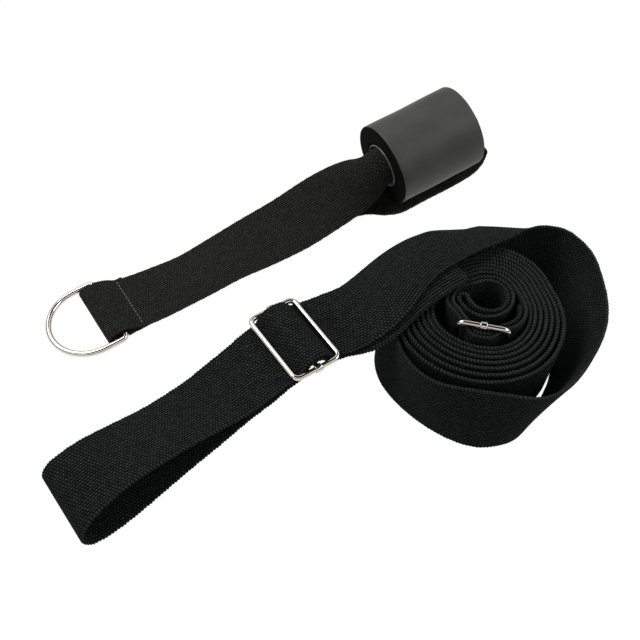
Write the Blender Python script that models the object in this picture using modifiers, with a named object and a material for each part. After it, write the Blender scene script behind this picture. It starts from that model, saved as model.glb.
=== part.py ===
"""Door stretching strap, laid out on a table.

Two pieces of webbing make the set. The door anchor is a short strap sewn round a D-ring at one end
and looped through a foam roll at the other. The long strap ends in a loop with a sliding buckle at
each end: its front loop lies open, and its rear loop is rolled up inside the coil.

Lengths below are millimetres in the layout's own axes: X runs along both straps, Y across them and
Z up from the table. The empty "layout" carries everything so that the origin is the middle of the
footprint, on the table.
"""
import bpy
import bmesh
from math import atan, cos, degrees, hypot, pi, radians, sin, sqrt, tan, tau
from mathutils import Matrix, Vector

MM = 0.001
FOOTPRINT_MIDDLE = (-5.39, -16.21)

# Long strap
STRAP_WIDTH = 37.8
STRAP_THICK = 1.7
LAYER_STEP = 2.35
TABLE_GAP = 0.3
JOIN_GAP = 0.35

# Sliding buckles
BUCKLE_ACROSS = 43.6
BUCKLE_ALONG = 26.8
BUCKLE_WIRE = 1.25
BUCKLE_CORNER = 3.2
BAR_RADIUS = 1.2
EYE_BORE = 1.55
EYE_OUTER = 2.0
EYE_LENGTH = 3.2
FRONT_BUCKLE = (-33.0, -26.0, 37.5)
FRONT_BUCKLE_TURN = -1.5
UNDER_BAR = 2.55
OVER_BAR = 2.5
PLATEAU = 1.8
WEAVE_REACH = 10.4

# Coil
HOLLOW = (59.7, -57.8)
POINTS_PER_TURN = 24
COIL_PASSES = 8
COIL_END_AZIMUTH = 130.0
REAR_BUCKLE_AZIMUTH = 222.0
REAR_BUCKLE_RADIUS = 25.0

# Door anchor
ANCHOR_WIDTH = 36.6
ANCHOR_THICK = 1.7
RING_WIRE = 1.55
RING_STRAIGHT = 12.0
RING_RADIUS = 21.0
RING_BAR = (-86.8, 65.4, 4.0)
RING_TURN = 176.7
RING_DROOP = 4.2
ROLL_FRONT = (77.6, 51.7, 26.1)
ROLL_TURN = -4.1
ROLL_TILT = 6.0
ROLL_RADIUS = 23.1
ROLL_LENGTH = 52.3
ROLL_LINER_RADIUS = 12.4
ROLL_LINER_WALL = 1.0
ROLL_LINER_PROUD = 0.4
THREAD = 0.3
STITCHES = 11
RING_SEAM_NEAR = (-77.4, 48.0, 3.75)
RING_SEAM_FAR = (-75.2, 79.8, 3.5)


def clear_scene():
    for item in list(bpy.data.objects):
        bpy.data.objects.remove(item, do_unlink=True)


def material(name, colour, roughness, metallic=0.0):
    made = bpy.data.materials.new(name)
    made.use_nodes = True
    shader = made.node_tree.nodes["Principled BSDF"]
    shader.inputs["Base Color"].default_value = (*colour, 1.0)
    shader.inputs["Roughness"].default_value = roughness
    shader.inputs["Metallic"].default_value = metallic
    return made


def collection(name):
    made = bpy.data.collections.new(name)
    bpy.context.scene.collection.children.link(made)
    return made


def add_object(name, data, finish, home, parent):
    made = bpy.data.objects.new(name, data)
    data.materials.append(finish)
    home.objects.link(made)
    made.parent = parent
    return made


def smooth(t):
    t = min(max(t, 0.0), 1.0)
    return t * t * (3 - 2 * t)


def catmull(points, spacing):
    """Points read from a smooth curve through the given ones, about one spacing apart."""
    out = []
    last = len(points) - 1
    for k in range(last):
        p0 = points[max(k - 1, 0)]
        p1, p2 = points[k], points[k + 1]
        p3 = points[min(k + 2, last)]
        steps = max(1, round(sqrt(sum((b - a) ** 2 for a, b in zip(p1[:3], p2[:3]))) / spacing))
        for j in range(steps):
            t = j / steps
            out.append([0.5 * (2 * b + (c - a) * t + (2 * a - 5 * b + 4 * c - d) * t * t
                               + (3 * b - a - 3 * c + d) * t ** 3)
                        for a, b, c, d in zip(p0, p1, p2, p3)])
    out.append(list(points[last]))
    return out


def arc_section(near, far, bulge, up, columns):
    """Points across a strap: a circular arc from its near edge to its far edge."""
    near, far = Vector(near), Vector(far)
    chord = far - near
    length = chord.length
    if abs(bulge) < 0.02:
        return [near + chord * (j / (columns - 1)) for j in range(columns)]
    radius = (length * length / 4 + bulge * bulge) / (2 * bulge)
    half = 2 * atan(2 * bulge / length)
    side = chord.normalized()
    rise = (up - side * up.dot(side)).normalized()
    crown = (near + far) / 2 + rise * bulge
    out = []
    for j in range(columns):
        angle = half * (2 * j / (columns - 1) - 1)
        out.append(crown + side * (radius * sin(angle)) - rise * (radius * (1 - cos(angle))))
    return out


def strip_mesh(name, rows):
    """An open strip through rows of points, in millimetres."""
    mesh = bpy.data.meshes.new(name)
    form = bmesh.new()
    grid = [[form.verts.new(Vector(point) * MM) for point in row] for row in rows]
    for row, after in zip(grid, grid[1:]):
        for j in range(len(row) - 1):
            form.faces.new((row[j], after[j], after[j + 1], row[j + 1]))
    form.to_mesh(mesh)
    form.free()
    return mesh


def ribbon(name, stations, columns, thick, finish, home, parent):
    """A strap through stations of near edge, far edge and bulge, given its thickness."""
    rows = []
    for k, station in enumerate(stations):
        before, after = stations[max(k - 1, 0)], stations[min(k + 1, len(stations) - 1)]
        run = Vector([(after[j] + after[j + 3] - before[j] - before[j + 3]) / 2 for j in range(3)])
        across = Vector([station[j + 3] - station[j] for j in range(3)])
        up = run.cross(across).normalized()
        rows.append(arc_section(station[0:3], station[3:6], station[6], up, columns))
    made = add_object(name, strip_mesh(name, rows), finish, home, parent)
    shell = made.modifiers.new("thickness", "SOLIDIFY")
    shell.thickness = thick * MM
    shell.offset = 0.0
    shell.use_even_offset = True
    made.data.shade_smooth()
    return made


def weave():
    """Places of a strap's two layers in a buckle, along it and off its plane.

    The inner layer dips under both long bars and rises over the middle bar; the outer layer keeps one
    layer step off it.
    """
    inner = []
    height = OVER_BAR + UNDER_BAR + LAYER_STEP
    count = 16
    for k in range(count + 1):
        along = WEAVE_REACH * (2 * k / count - 1)
        fall = max(0.0, (abs(along) - PLATEAU) / (WEAVE_REACH - PLATEAU))
        inner.append((along, OVER_BAR - height * (1 - cos(pi * fall)) / 2))
    outer = []
    for k, (along, off) in enumerate(inner):
        a, b = inner[max(k - 1, 0)], inner[min(k + 1, count)]
        run, rise = b[0] - a[0], b[1] - a[1]
        size = hypot(run, rise)
        outer.append((along - rise / size * LAYER_STEP, off + run / size * LAYER_STEP))
    return inner, outer


def level(x, z, near_y=None, far_y=None):
    """A station square to X, at one height."""
    middle = FRONT_BUCKLE[1]
    near = middle - STRAP_WIDTH / 2 if near_y is None else near_y
    far = middle + STRAP_WIDTH / 2 if far_y is None else far_y
    return [x, near, z, x, far, z, 0.0]


def front_route():
    """Stations of the front of the long strap, from its tail round the loop and along the run."""
    near, far = FRONT_BUCKLE[1] - STRAP_WIDTH / 2, FRONT_BUCKLE[1] + STRAP_WIDTH / 2
    tail = [
        (57.0, -48.0, 39.8, 52.5, -10.8, 31.8, -4.8),
        (44.0, -47.6, 39.8, 39.5, -10.2, 31.8, -4.8),
        (30.0, -49.0, 39.8, 25.5, -11.8, 32.2, -4.5),
        (17.0, -51.5, 39.7, 13.0, -14.2, 33.8, -2.8),
        (6.0, -54.0, 39.5, 4.3, -16.4, 35.6, -1.2),
        (-3.0, -54.3, 38.8, -1.5, -16.8, 36.3, -0.3),
        (-10.0, -51.5, 36.4, -9.3, -13.9, 35.8, 0.0),
        (-15.4, -47.6, 33.9, -15.0, -9.8, 33.7, 0.0),
        (-18.8, -45.5, 32.6, -18.6, -7.7, 32.6, 0.0),
    ]
    lower = [
        (-50.0, near, 30.9, -50.0, far, 30.2, 0.0),
        (-57.0, near, 28.0, -57.0, far, 26.0, 0.0),
        (-71.0, near, 24.3, -71.0, far, 19.4, 0.0),
        (-87.0, near, 18.2, -87.0, far, 12.0, 0.0),
        (-103.0, near, 12.6, -103.0, far, 6.6, 0.0),
        (-119.0, near - 0.5, 7.2, -119.0, far - 0.3, 3.0, 0.0),
        (-135.0, near - 1.5, 2.9, -135.0, far - 0.8, 1.6, 0.0),
        (-149.0, near - 2.3, 1.3, -148.5, far - 1.4, 1.3, 0.0),
        (-156.5, near - 2.6, 3.0, -156.0, far - 1.6, 4.2, 0.0),
        (-160.0, near - 2.4, 8.5, -159.8, far - 1.4, 11.0, 0.0),
    ]
    upper = [
        (-157.5, near - 1.8, 15.5, -156.5, far - 0.9, 16.8, 0.0),
        (-150.5, near - 1.0, 20.4, -149.0, far - 0.4, 19.2, 0.0),
        (-141.0, near - 0.4, 24.7, -139.0, far, 20.2, 0.0),
        (-127.0, near, 28.2, -126.0, -7.6, 20.2, 0.0),
        (-105.0, near, 30.0, -105.0, -8.4, 20.0, 0.0),
        (-83.0, near, 29.4, -83.0, -7.9, 22.2, 0.0),
        (-72.0, near, 29.0, -72.0, far, 24.8, 0.0),
        (-59.0, near, 31.4, -59.0, far, 29.4, 0.0),
        (-50.5, near, 33.7, -50.5, far, 33.1, 0.0),
    ]
    run = [
        (-18.8, -45.5, 35.0, -18.6, -7.7, 35.0, 0.0),
        (-14.8, -47.6, 36.5, -14.2, -9.9, 36.5, 0.0),
        (-9.0, -50.2, 39.6, -9.0, -12.5, 39.0, 0.0),
        (-1.0, -51.3, 41.7, -3.0, -13.7, 39.1, 0.3),
        (8.0, -50.4, 42.8, 1.8, -13.9, 38.6, 0.8),
        (20.2, -46.9, 43.5, 8.5, -12.0, 36.6, 1.5),
        (31.0, -42.4, 44.0, 20.0, -8.3, 33.8, 3.2),
        (43.0, -38.6, 44.0, 36.0, -4.0, 31.2, 4.1),
        (54.4, -37.8, 44.0, 52.0, -3.0, 30.6, 4.1),
    ]
    inner, outer = weave()
    middle, height = FRONT_BUCKLE[0], FRONT_BUCKLE[2]
    tail_pass = [level(middle + along, height + off) for along, off in reversed(inner)]
    main_pass = [level(middle + along, height + off) for along, off in outer]
    return (catmull(tail + tail_pass[:1], 9.0)[:-1] + tail_pass
            + catmull(tail_pass[-1:] + lower + upper + main_pass[:1], 8.0)[1:-1] + main_pass
            + catmull(main_pass[-1:] + run, 8.0)[1:])


def outer_turn_route():
    """Stations of the run's end and the loose outer turn: rim above, foot on the table."""
    foot = TABLE_GAP + 0.3
    points = [
        (54.8, -37.8, 44.0, 52.4, -3.0, 30.6, 4.1),
        (66.0, -37.8, 44.0, 66.0, -3.6, 28.4, 2.8),
        (77.0, -38.2, 43.0, 78.0, -5.6, 23.8, 1.2),
        (88.5, -38.9, 42.0, 88.0, -8.0, 20.4, 0.8),
        (98.9, -38.8, 41.0, 98.0, -9.6, 17.2, 0.4),
        (103.4, -39.4, 40.5, 100.2, -16.0, 10.8, 0.3),
        (107.6, -40.3, 40.0, 102.0, -21.2, 7.8, 0.2),
        (113.5, -43.8, 39.3, 106.0, -28.6, 5.5, 0.0),
        (118.0, -48.8, 38.7, 109.0, -38.0, 3.5, 0.0),
        (119.9, -56.4, 37.9, 110.5, -48.5, 1.9, 0.0),
        (120.3, -64.0, 36.5, 108.9, -58.0, 0.9, 0.0),
        (118.5, -70.6, 35.9, 106.2, -65.6, foot, 0.0),
        (112.0, -82.3, 35.8, 100.4, -74.2, foot, 0.0),
        (105.1, -92.8, 34.9, 93.6, -81.0, foot, 0.0),
        (96.4, -101.8, 33.9, 85.2, -86.4, foot, 0.0),
        (86.1, -108.4, 33.7, 77.2, -91.8, foot, 0.0),
        (76.8, -112.7, 34.0, 69.7, -97.6, foot, 0.0),
        (68.7, -116.0, 34.6, 61.0, -102.4, foot, 0.0),
        (58.9, -118.9, 35.4, 52.4, -106.4, foot, 0.0),
        (48.8, -120.2, 36.8, 44.4, -109.8, foot, 0.0),
        (41.4, -118.8, 37.6, 39.0, -111.5, foot, 0.0),
        (35.8, -115.8, 38.2, 34.4, -112.3, foot, 0.0),
        (29.6, -109.8, 38.3, 28.8, -111.7, foot, 0.0),
        (22.4, -102.2, 38.0, 19.2, -107.4, foot, 0.0),
        (16.4, -96.0, 38.0, 12.8, -101.0, foot, 0.0),
        (9.0, -88.3, 38.1, 7.6, -91.5, foot, 0.0),
        (4.6, -81.0, 38.3, 4.2, -81.6, foot, 0.0),
        (2.6, -71.5, 38.3, 2.0, -70.8, foot, 0.0),
        (3.8, -61.5, 38.2, 1.2, -59.5, foot, 0.0),
        (6.4, -53.6, 37.9, 2.3, -49.6, foot, 0.0),
        (9.4, -46.4, 37.6, 5.4, -41.6, foot, 0.0),
        (13.2, -40.0, 37.5, 10.0, -35.2, foot, 0.0),
        (18.7, -34.6, 37.4, 16.6, -29.8, foot, 0.0),
        (24.6, -30.8, 37.5, 23.6, -28.2, foot, 0.0),
    ]
    before, end = coil_route()[-2:]
    run = Vector([end[j] + end[j + 3] - before[j] - before[j + 3] for j in range(3)]).normalized()
    points.append([end[j] + run[j % 3] * JOIN_GAP for j in range(6)] + [0.0])
    return catmull(points, 6.0)


def periodic(table, azimuth):
    """A value read from a table of azimuth and value pairs, smoothly and all the way round."""
    azimuth %= 360
    count = len(table)
    for k in range(count):
        a, b = table[k], table[(k + 1) % count]
        width = (b[0] - a[0]) % 360
        place = (azimuth - a[0]) % 360
        if place < width:
            before, after = table[k - 1], table[(k + 2) % count]
            t = place / width
            slope_a = (b[1] - before[1]) / ((b[0] - before[0]) % 360) * width
            slope_b = (after[1] - a[1]) / ((after[0] - a[0]) % 360) * width
            return ((2 * t ** 3 - 3 * t * t + 1) * a[1] + (t ** 3 - 2 * t * t + t) * slope_a
                    + (3 * t * t - 2 * t ** 3) * b[1] + (t ** 3 - t * t) * slope_b)
    return table[0][1]


# Radius of the coil's first full layer at each azimuth about the hollow
FIRST_LAYER = [(0, 15.0), (30, 15.05), (60, 15.1), (75, 15.2), (90, 15.5), (105, 16.8), (120, 19.6),
               (135, 23.3), (150, 27.3), (165, 30.7), (180, 32.7), (195, 33.3), (210, 33.4),
               (225, 33.2), (240, 32.4), (250, 31.2), (260, 29.0), (270, 26.7), (285, 23.1),
               (300, 20.1), (315, 17.5), (330, 15.8), (345, 15.2)]
# How fast the layers loosen outward at their top edges
LOOSENING = [(0, 0.0), (60, 0.0), (120, 0.03), (165, 0.11), (195, 0.15), (225, 0.15), (250, 0.13),
             (270, 0.115), (285, 0.09), (300, 0.058), (315, 0.03), (330, 0.0)]
# Extra room between the first layers, where they run at a slant to the radius
SLANT_ROOM = [(0, 0.0), (90, 0.0), (105, 0.16), (120, 0.32), (135, 0.38), (150, 0.3), (165, 0.15),
              (180, 0.05), (210, 0.0), (240, 0.0), (255, 0.1), (270, 0.2), (285, 0.26), (300, 0.22),
              (315, 0.1), (330, 0.0)]
# Radius of the rear loop's inner layer in its first turn, from the fold outward
RING_LAYER = [(155, 10.6), (180, 10.6), (210, 10.6), (240, 10.5), (270, 10.1), (300, 9.5), (330, 8.9),
              (360, 8.6), (405, 8.6), (435, 8.6), (450, 8.9), (465, 10.1), (480, 12.6), (495, 15.5),
              (510, 17.8), (525, 19.0), (540, 19.7)]
# Extra room between the rear loop's two layers near its fold
FOLD_ROOM = [(155, 2.1), (180, 2.0), (210, 1.6), (240, 0.9), (270, 0.3), (300, 0.0), (405, 0.0),
             (435, 0.1), (465, 0.5), (495, 0.6), (525, 0.2), (540, 0.0)]


def along_table(table, place):
    """A value read from a table of increasing places, smoothly."""
    for k in range(len(table) - 1):
        a, b = table[k], table[k + 1]
        if place <= b[0]:
            before, after = table[max(k - 1, 0)], table[min(k + 2, len(table) - 1)]
            width = b[0] - a[0]
            t = (place - a[0]) / width
            slope_a = (b[1] - before[1]) / (b[0] - before[0]) * width
            slope_b = (after[1] - a[1]) / (after[0] - a[0]) * width
            return ((2 * t ** 3 - 3 * t * t + 1) * a[1] + (t ** 3 - 2 * t * t + t) * slope_a
                    + (3 * t * t - 2 * t ** 3) * b[1] + (t ** 3 - t * t) * slope_b)
    return table[-1][1]


def polar(azimuth, radius):
    a = radians(azimuth)
    return HOLLOW[0] + radius * cos(a), HOLLOW[1] + radius * sin(a)


def standing(top, foot, lift=0.0):
    """A station of a strap standing on edge, from its top edge down to its foot."""
    lean = hypot(top[0] - foot[0], top[1] - foot[1])
    low = TABLE_GAP + lift
    return [top[0], top[1], low + sqrt(STRAP_WIDTH ** 2 - lean ** 2), foot[0], foot[1], low, 0.0]


def rear_buckle_frame():
    """Middle of the rear buckle and its directions: along the strap, outward and up."""
    a = radians(REAR_BUCKLE_AZIMUTH)
    outward = Vector((cos(a), sin(a), 0))
    along = Vector((-sin(a), cos(a), 0))
    x, y = polar(REAR_BUCKLE_AZIMUTH, REAR_BUCKLE_RADIUS)
    height = TABLE_GAP + EYE_OUTER + BUCKLE_ACROSS / 2 - BUCKLE_WIRE
    return Vector((x, y, height)), along, outward


def buckle_lift():
    return rear_buckle_frame()[0].z - STRAP_WIDTH / 2 - TABLE_GAP


def in_rear_buckle(places, first, last):
    """Stations of a layer inside the rear buckle, in the order given, between two places along it."""
    middle, along, outward = rear_buckle_frame()
    out = []
    for run, off in places:
        if not first <= run <= last:
            continue
        spot = middle + along * run + outward * off
        out.append(standing((spot.x, spot.y), (spot.x, spot.y), buckle_lift()))
    return out


def coil_azimuths(first, last):
    step = 360 / POINTS_PER_TURN
    k = int(first // step) + 1
    out = []
    while k * step < last:
        out.append(k * step)
        k += 1
    return out


def coil_route():
    """Stations of the coil, from the rear tail inward, round the fold and outward to the outer turn."""
    inner, outer = weave()
    step = LAYER_STEP
    exit_azimuth = 250.0
    lift = buckle_lift()

    def main_layer(azimuth):
        turns = (azimuth - exit_azimuth) / 360 - 1
        first = periodic(FIRST_LAYER, azimuth)
        loose = periodic(LOOSENING, azimuth) * max(turns, 0.0) ** 2
        settle = 1 - smooth((azimuth - exit_azimuth) / 32)
        slant = periodic(SLANT_ROOM, azimuth) * min(max(turns, -1.0), 3.0)
        foot = first + step * turns + slant - 3.1 * settle
        return foot + loose, foot

    stations = []
    # The rear tail lies inside the main layer and ends a short way past the buckle
    for azimuth in reversed(coil_azimuths(exit_azimuth + 2, 315)):
        past = (azimuth - exit_azimuth) / 60
        radius = main_layer(azimuth)[1] - step - 0.5
        spot = polar(azimuth, radius)
        stations.append(standing(spot, spot, lift * (1 - smooth(past))))
    stations += in_rear_buckle(list(reversed(inner)), -8.0, 9.3)
    # The loop's inner layer runs inward to the fold
    for azimuth in reversed(coil_azimuths(158, 541)):
        spot = polar(azimuth, along_table(RING_LAYER, azimuth))
        stations.append(standing(spot, spot, lift * smooth((azimuth - 505) / 50)))
    near_radius = RING_LAYER[0][1]
    room = step + FOLD_ROOM[0][1]
    turn = 5
    for k in range(1, turn):
        angle = pi * k / turn
        swing = degrees(room / 2 * sin(angle) / (near_radius + room / 2))
        radius = near_radius + room / 2 * (1 - cos(angle))
        spot = polar(RING_LAYER[0][0] - swing, radius)
        stations.append(standing(spot, spot))
    # The loop's outer layer runs back out beside it
    for azimuth in coil_azimuths(158, 541):
        radius = along_table(RING_LAYER, azimuth) + step + along_table(FOLD_ROOM, azimuth)
        spot = polar(azimuth, radius)
        stations.append(standing(spot, spot, lift * smooth((azimuth - 505) / 50)))
    stations += in_rear_buckle(outer, -9.0, 11.0)
    # The single strap winds outward, layer on layer
    last = 360 * COIL_PASSES + COIL_END_AZIMUTH
    for azimuth in coil_azimuths(exit_azimuth + 2, last - 3) + [last]:
        top, foot = main_layer(azimuth)
        raised = lift * (1 - smooth((azimuth - exit_azimuth) / 80))
        stations.append(standing(polar(azimuth, top), polar(azimuth, foot), raised))
    return stations


def least_gap(stations, thick):
    """Least clear distance between a strap's turns, measured between points on its middle line."""
    middles = [Vector([(s[j] + s[j + 3]) / 2 for j in range(2)]) for s in stations]
    fine = []
    for a, b in zip(middles, middles[1:]):
        fine += [(a.lerp(b, k / 4)) for k in range(4)]
    length = [0.0]
    for a, b in zip(fine, fine[1:]):
        length.append(length[-1] + (b - a).length)
    least = 1e9
    for i in range(len(fine)):
        for j in range(i + 1, len(fine)):
            if length[j] - length[i] > 12 and abs(fine[i].x - fine[j].x) < 4:
                gap = (fine[i] - fine[j]).length - thick
                if gap < least:
                    least = gap
                    where = fine[i]
    return least, where


def rounded_rectangle(across, along, radius, points=4):
    """Centre line of a frame with round corners, lying in its own XY plane."""
    out = []
    corners = [(along / 2 - radius, across / 2 - radius, 0), (-along / 2 + radius, across / 2 - radius, 90),
               (-along / 2 + radius, -across / 2 + radius, 180), (along / 2 - radius, -across / 2 + radius, 270)]
    for x, y, start in corners:
        for k in range(points + 1):
            a = radians(start + 90 * k / points)
            out.append((x + radius * cos(a), y + radius * sin(a), 0))
    return out


def wire(name, points, radius, cyclic, finish, home, parent, sides=2):
    data = bpy.data.curves.new(name, "CURVE")
    data.dimensions = "3D"
    data.bevel_depth = radius * MM
    data.bevel_resolution = sides
    data.use_fill_caps = True
    spline = data.splines.new("POLY")
    spline.points.add(len(points) - 1)
    for point, place in zip(spline.points, points):
        point.co = (place[0] * MM, place[1] * MM, place[2] * MM, 1)
    spline.use_cyclic_u = cyclic
    return add_object(name, data, finish, home, parent)


def turned(name, profile, steps, finish, home, parent):
    """A ring turned about its own X axis from a closed profile of (along, radius) points."""
    mesh = bpy.data.meshes.new(name)
    form = bmesh.new()
    verts = [form.verts.new(Vector((along, radius, 0)) * MM) for along, radius in profile]
    for a, b in zip(verts, verts[1:] + verts[:1]):
        form.edges.new((a, b))
    form.to_mesh(mesh)
    form.free()
    made = add_object(name, mesh, finish, home, parent)
    screw = made.modifiers.new("turn", "SCREW")
    screw.axis = "X"
    screw.steps = steps
    screw.render_steps = steps
    screw.use_merge_vertices = True
    screw.merge_threshold = 0.00001
    screw.use_smooth_shade = False
    screw.use_normal_calculate = True
    return made


def buckle_frame(name, finish, home, parent):
    outline = rounded_rectangle(BUCKLE_ACROSS - 2 * BUCKLE_WIRE, BUCKLE_ALONG - 2 * BUCKLE_WIRE, BUCKLE_CORNER)
    return wire(name, outline, BUCKLE_WIRE, True, finish, home, parent)


def eye_mesh():
    """One eye of the middle bar, turned about the short side that it rides on."""
    form = bmesh.new()
    half = EYE_LENGTH / 2
    sides = 16
    rings = []
    for along, radius in ((-half, EYE_BORE), (-half, EYE_OUTER), (half, EYE_OUTER), (half, EYE_BORE)):
        rings.append([form.verts.new((along * MM, radius * cos(tau * k / sides) * MM,
                                      radius * sin(tau * k / sides) * MM)) for k in range(sides)])
    for ring, after in zip(rings, rings[1:] + rings[:1]):
        for k in range(sides):
            form.faces.new((ring[k], ring[(k + 1) % sides], after[(k + 1) % sides], after[k]))
    bmesh.ops.recalc_face_normals(form, faces=form.faces)
    return form


def buckle_bar(name, finish, home, cutters, parent):
    """The middle bar with an eye at each end, which slides along the frame's short sides."""
    reach = BUCKLE_ACROSS / 2 - BUCKLE_WIRE
    mesh = bpy.data.meshes.new(name)
    form = bmesh.new()
    length = 2 * (reach - EYE_BORE - 0.2)
    bmesh.ops.create_cone(form, cap_ends=True, segments=12, radius1=BAR_RADIUS * MM, radius2=BAR_RADIUS * MM,
                          depth=length * MM, matrix=Matrix.Rotation(radians(90), 4, "X"))
    form.to_mesh(mesh)
    form.free()
    bar = add_object(name, mesh, finish, home, parent)
    for side, place in (("near", -reach), ("far", reach)):
        eye = bpy.data.meshes.new(f"{name}_{side}_eye")
        form = eye_mesh()
        bmesh.ops.translate(form, verts=form.verts, vec=(0, place * MM, 0))
        form.to_mesh(eye)
        form.free()
        tool = add_object(f"{name}_{side}_eye", eye, finish, cutters, parent)
        tool.hide_render = True
        tool.display_type = "WIRE"
        join = bar.modifiers.new(side, "BOOLEAN")
        join.operation = "UNION"
        join.object = tool
    return bar


def place_buckle(parts, spot, axes):
    """Stand the pieces of one buckle at a place; axes are along the strap, across it and off its plane."""
    turn = Matrix(axes).transposed().to_4x4()
    for part in parts:
        part.matrix_local = Matrix.Translation(Vector(spot) * MM) @ turn


def d_ring(finish, home, parent):
    """The ring, with its origin in the middle of its straight bar and its round end along +X."""
    reach = RING_RADIUS
    corner = 3.0
    points = [(0, -reach + corner, 0), (0, reach - corner, 0)]
    for k in range(1, 5):
        a = radians(90 * k / 4)
        points.append((corner - corner * cos(a), reach - corner + corner * sin(a), 0))
    for k in range(0, 19):
        a = radians(90 - 180 * k / 18)
        points.append((RING_STRAIGHT + reach * cos(a), reach * sin(a), 0))
    for k in range(1, 5):
        a = radians(90 - 90 * k / 4)
        points.append((corner - corner * cos(a), -reach + corner - corner * sin(a), 0))
    ring = wire("d_ring", points[:-1], RING_WIRE, True, finish, home, parent)
    ring.location = Vector(RING_BAR) * MM
    ring.rotation_euler = (0, radians(RING_DROOP), radians(RING_TURN))
    return ring


def roll_frame():
    a, b = radians(ROLL_TURN), radians(ROLL_TILT)
    axis = Vector((cos(b) * cos(a), cos(b) * sin(a), sin(b)))
    side = Vector((-sin(a), cos(a), 0))
    return Vector(ROLL_FRONT), axis, side, axis.cross(side)


def anchor_route():
    """Stations of the anchor's webbing: ring tail, pocket, strap, bore, and back under the roll."""
    half = ANCHOR_WIDTH / 2
    y = RING_BAR[1]
    low = TABLE_GAP + ANCHOR_THICK / 2
    lean = tan(radians(RING_TURN - 180))

    def ring_end(back, height, shift=0.0):
        x = RING_BAR[0] - back
        return (x - half * -lean, y - half + shift, height, x + half * -lean, y + half + shift, height, 0.0)

    ring_tail = [ring_end(-15.0, low), ring_end(-8.0, low), ring_end(0.0, low), ring_end(5.5, low + 0.15)]
    ring_fold = [ring_end(8.2, low + 1.3), ring_end(8.9, low + 2.9), ring_end(8.2, low + 4.4)]
    above = RING_BAR[2] + RING_WIRE + TABLE_GAP + ANCHOR_THICK / 2
    pocket = [ring_end(5.5, above - 0.1), ring_end(0.0, above), ring_end(-5.2, above - 1.9)]
    strap = [
        (-77.6, 45.9, 3.7, -75.4, 81.9, 3.5, 0.0),
        (-66.0, 44.2, 4.2, -66.0, 80.0, 3.2, 0.2),
        (-52.0, 42.6, 6.0, -52.0, 78.6, 2.6, 0.6),
        (-38.0, 41.6, 7.2, -38.5, 77.6, 2.4, 0.9),
        (-20.0, 43.0, 5.6, -20.5, 79.2, 2.4, 0.6),
        (0.6, 43.2, 3.0, 1.0, 79.6, 4.8, 0.3),
        (22.3, 42.6, 2.9, 22.4, 78.4, 8.6, 0.4),
        (42.4, 43.4, 4.2, 42.6, 78.6, 12.0, 1.4),
        (55.0, 43.0, 7.0, 55.5, 76.0, 16.0, 4.0),
        (65.5, 42.2, 12.5, 66.5, 69.5, 21.5, 7.6),
    ]
    front, axis, side, rise = roll_frame()
    radius = ROLL_LINER_RADIUS - ROLL_LINER_WALL - 0.9 - ANCHOR_THICK / 2
    half_angle = ANCHOR_WIDTH / radius / 2
    bore = []
    for place in (0.0, 13.0, 26.0, 39.0, ROLL_LENGTH):
        spot = front + axis * place
        near = spot - side * (radius * sin(half_angle)) + rise * (radius * cos(half_angle))
        far = spot + side * (radius * sin(half_angle)) + rise * (radius * cos(half_angle))
        bore.append((*near, *far, radius * (1 - cos(half_angle))))
    end = front + axis * ROLL_LENGTH
    wrap = [
        (133.0, 38.4, 29.0, 133.0, 60.0, 31.0, 7.6),
        (137.0, 39.6, 22.4, 137.2, 67.4, 24.6, 4.6),
        (141.0, 41.0, 15.2, 142.0, 75.0, 17.0, 1.6),
        (144.8, 41.8, 9.8, 146.2, 78.2, 10.6, 0.3),
        (147.2, 41.6, 5.4, 149.2, 78.0, 5.6, 0.1),
        (143.4, 39.4, 2.4, 145.6, 75.8, 2.4, 0.0),
        (134.0, 36.4, low, 135.6, 72.8, low, 0.0),
        (118.0, 35.2, low, 118.8, 71.6, low, 0.0),
        (100.0, 35.4, low, 100.0, 72.0, low, 0.0),
        (80.5, 35.6, low, 80.5, 72.2, low, 0.0),
        (72.5, 39.0, low, 73.5, 75.4, low, 0.0),
        (65.0, 45.0, low, 67.0, 81.4, low, 0.0),
        (58.0, 47.9, low, 60.0, 84.2, low, 0.0),
    ]
    return (catmull(ring_tail + ring_fold + pocket + strap + bore[:1], 6.5)[:-1] + bore[:-1]
            + catmull(bore[-1:] + wrap, 6.5))


def foam_roll(finish, home, parent):
    inner, outer, edge = ROLL_LINER_RADIUS + 0.3, ROLL_RADIUS, 1.2
    profile = [(0, inner), (0, outer - edge), (edge * 0.3, outer - edge * 0.3), (edge, outer),
               (ROLL_LENGTH - edge, outer), (ROLL_LENGTH - edge * 0.3, outer - edge * 0.3),
               (ROLL_LENGTH, outer - edge), (ROLL_LENGTH, inner)]
    return turned("foam_roll", profile, 40, finish, home, parent)


def roll_liner(finish, home, parent):
    start, stop = -ROLL_LINER_PROUD, ROLL_LENGTH + ROLL_LINER_PROUD
    inner, outer = ROLL_LINER_RADIUS - ROLL_LINER_WALL, ROLL_LINER_RADIUS
    made = turned("roll_liner_tube", [(start, inner), (start, outer), (stop, outer), (stop, inner)], 32,
                  finish, home, parent)
    made.modifiers["turn"].use_normal_flip = True
    return made


def stitch_row(name, start, end, finish, home, parent):
    """The thread of a seam across a strap, rising a little at every stitch."""
    a, b = Vector(start), Vector(end)
    points = []
    for k in range(2 * STITCHES + 1):
        spot = a.lerp(b, k / (2 * STITCHES))
        points.append((spot.x, spot.y, spot.z + (0.15 if k % 2 else 0.0)))
    return wire(name, points, THREAD, False, finish, home, parent, 1)


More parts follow.
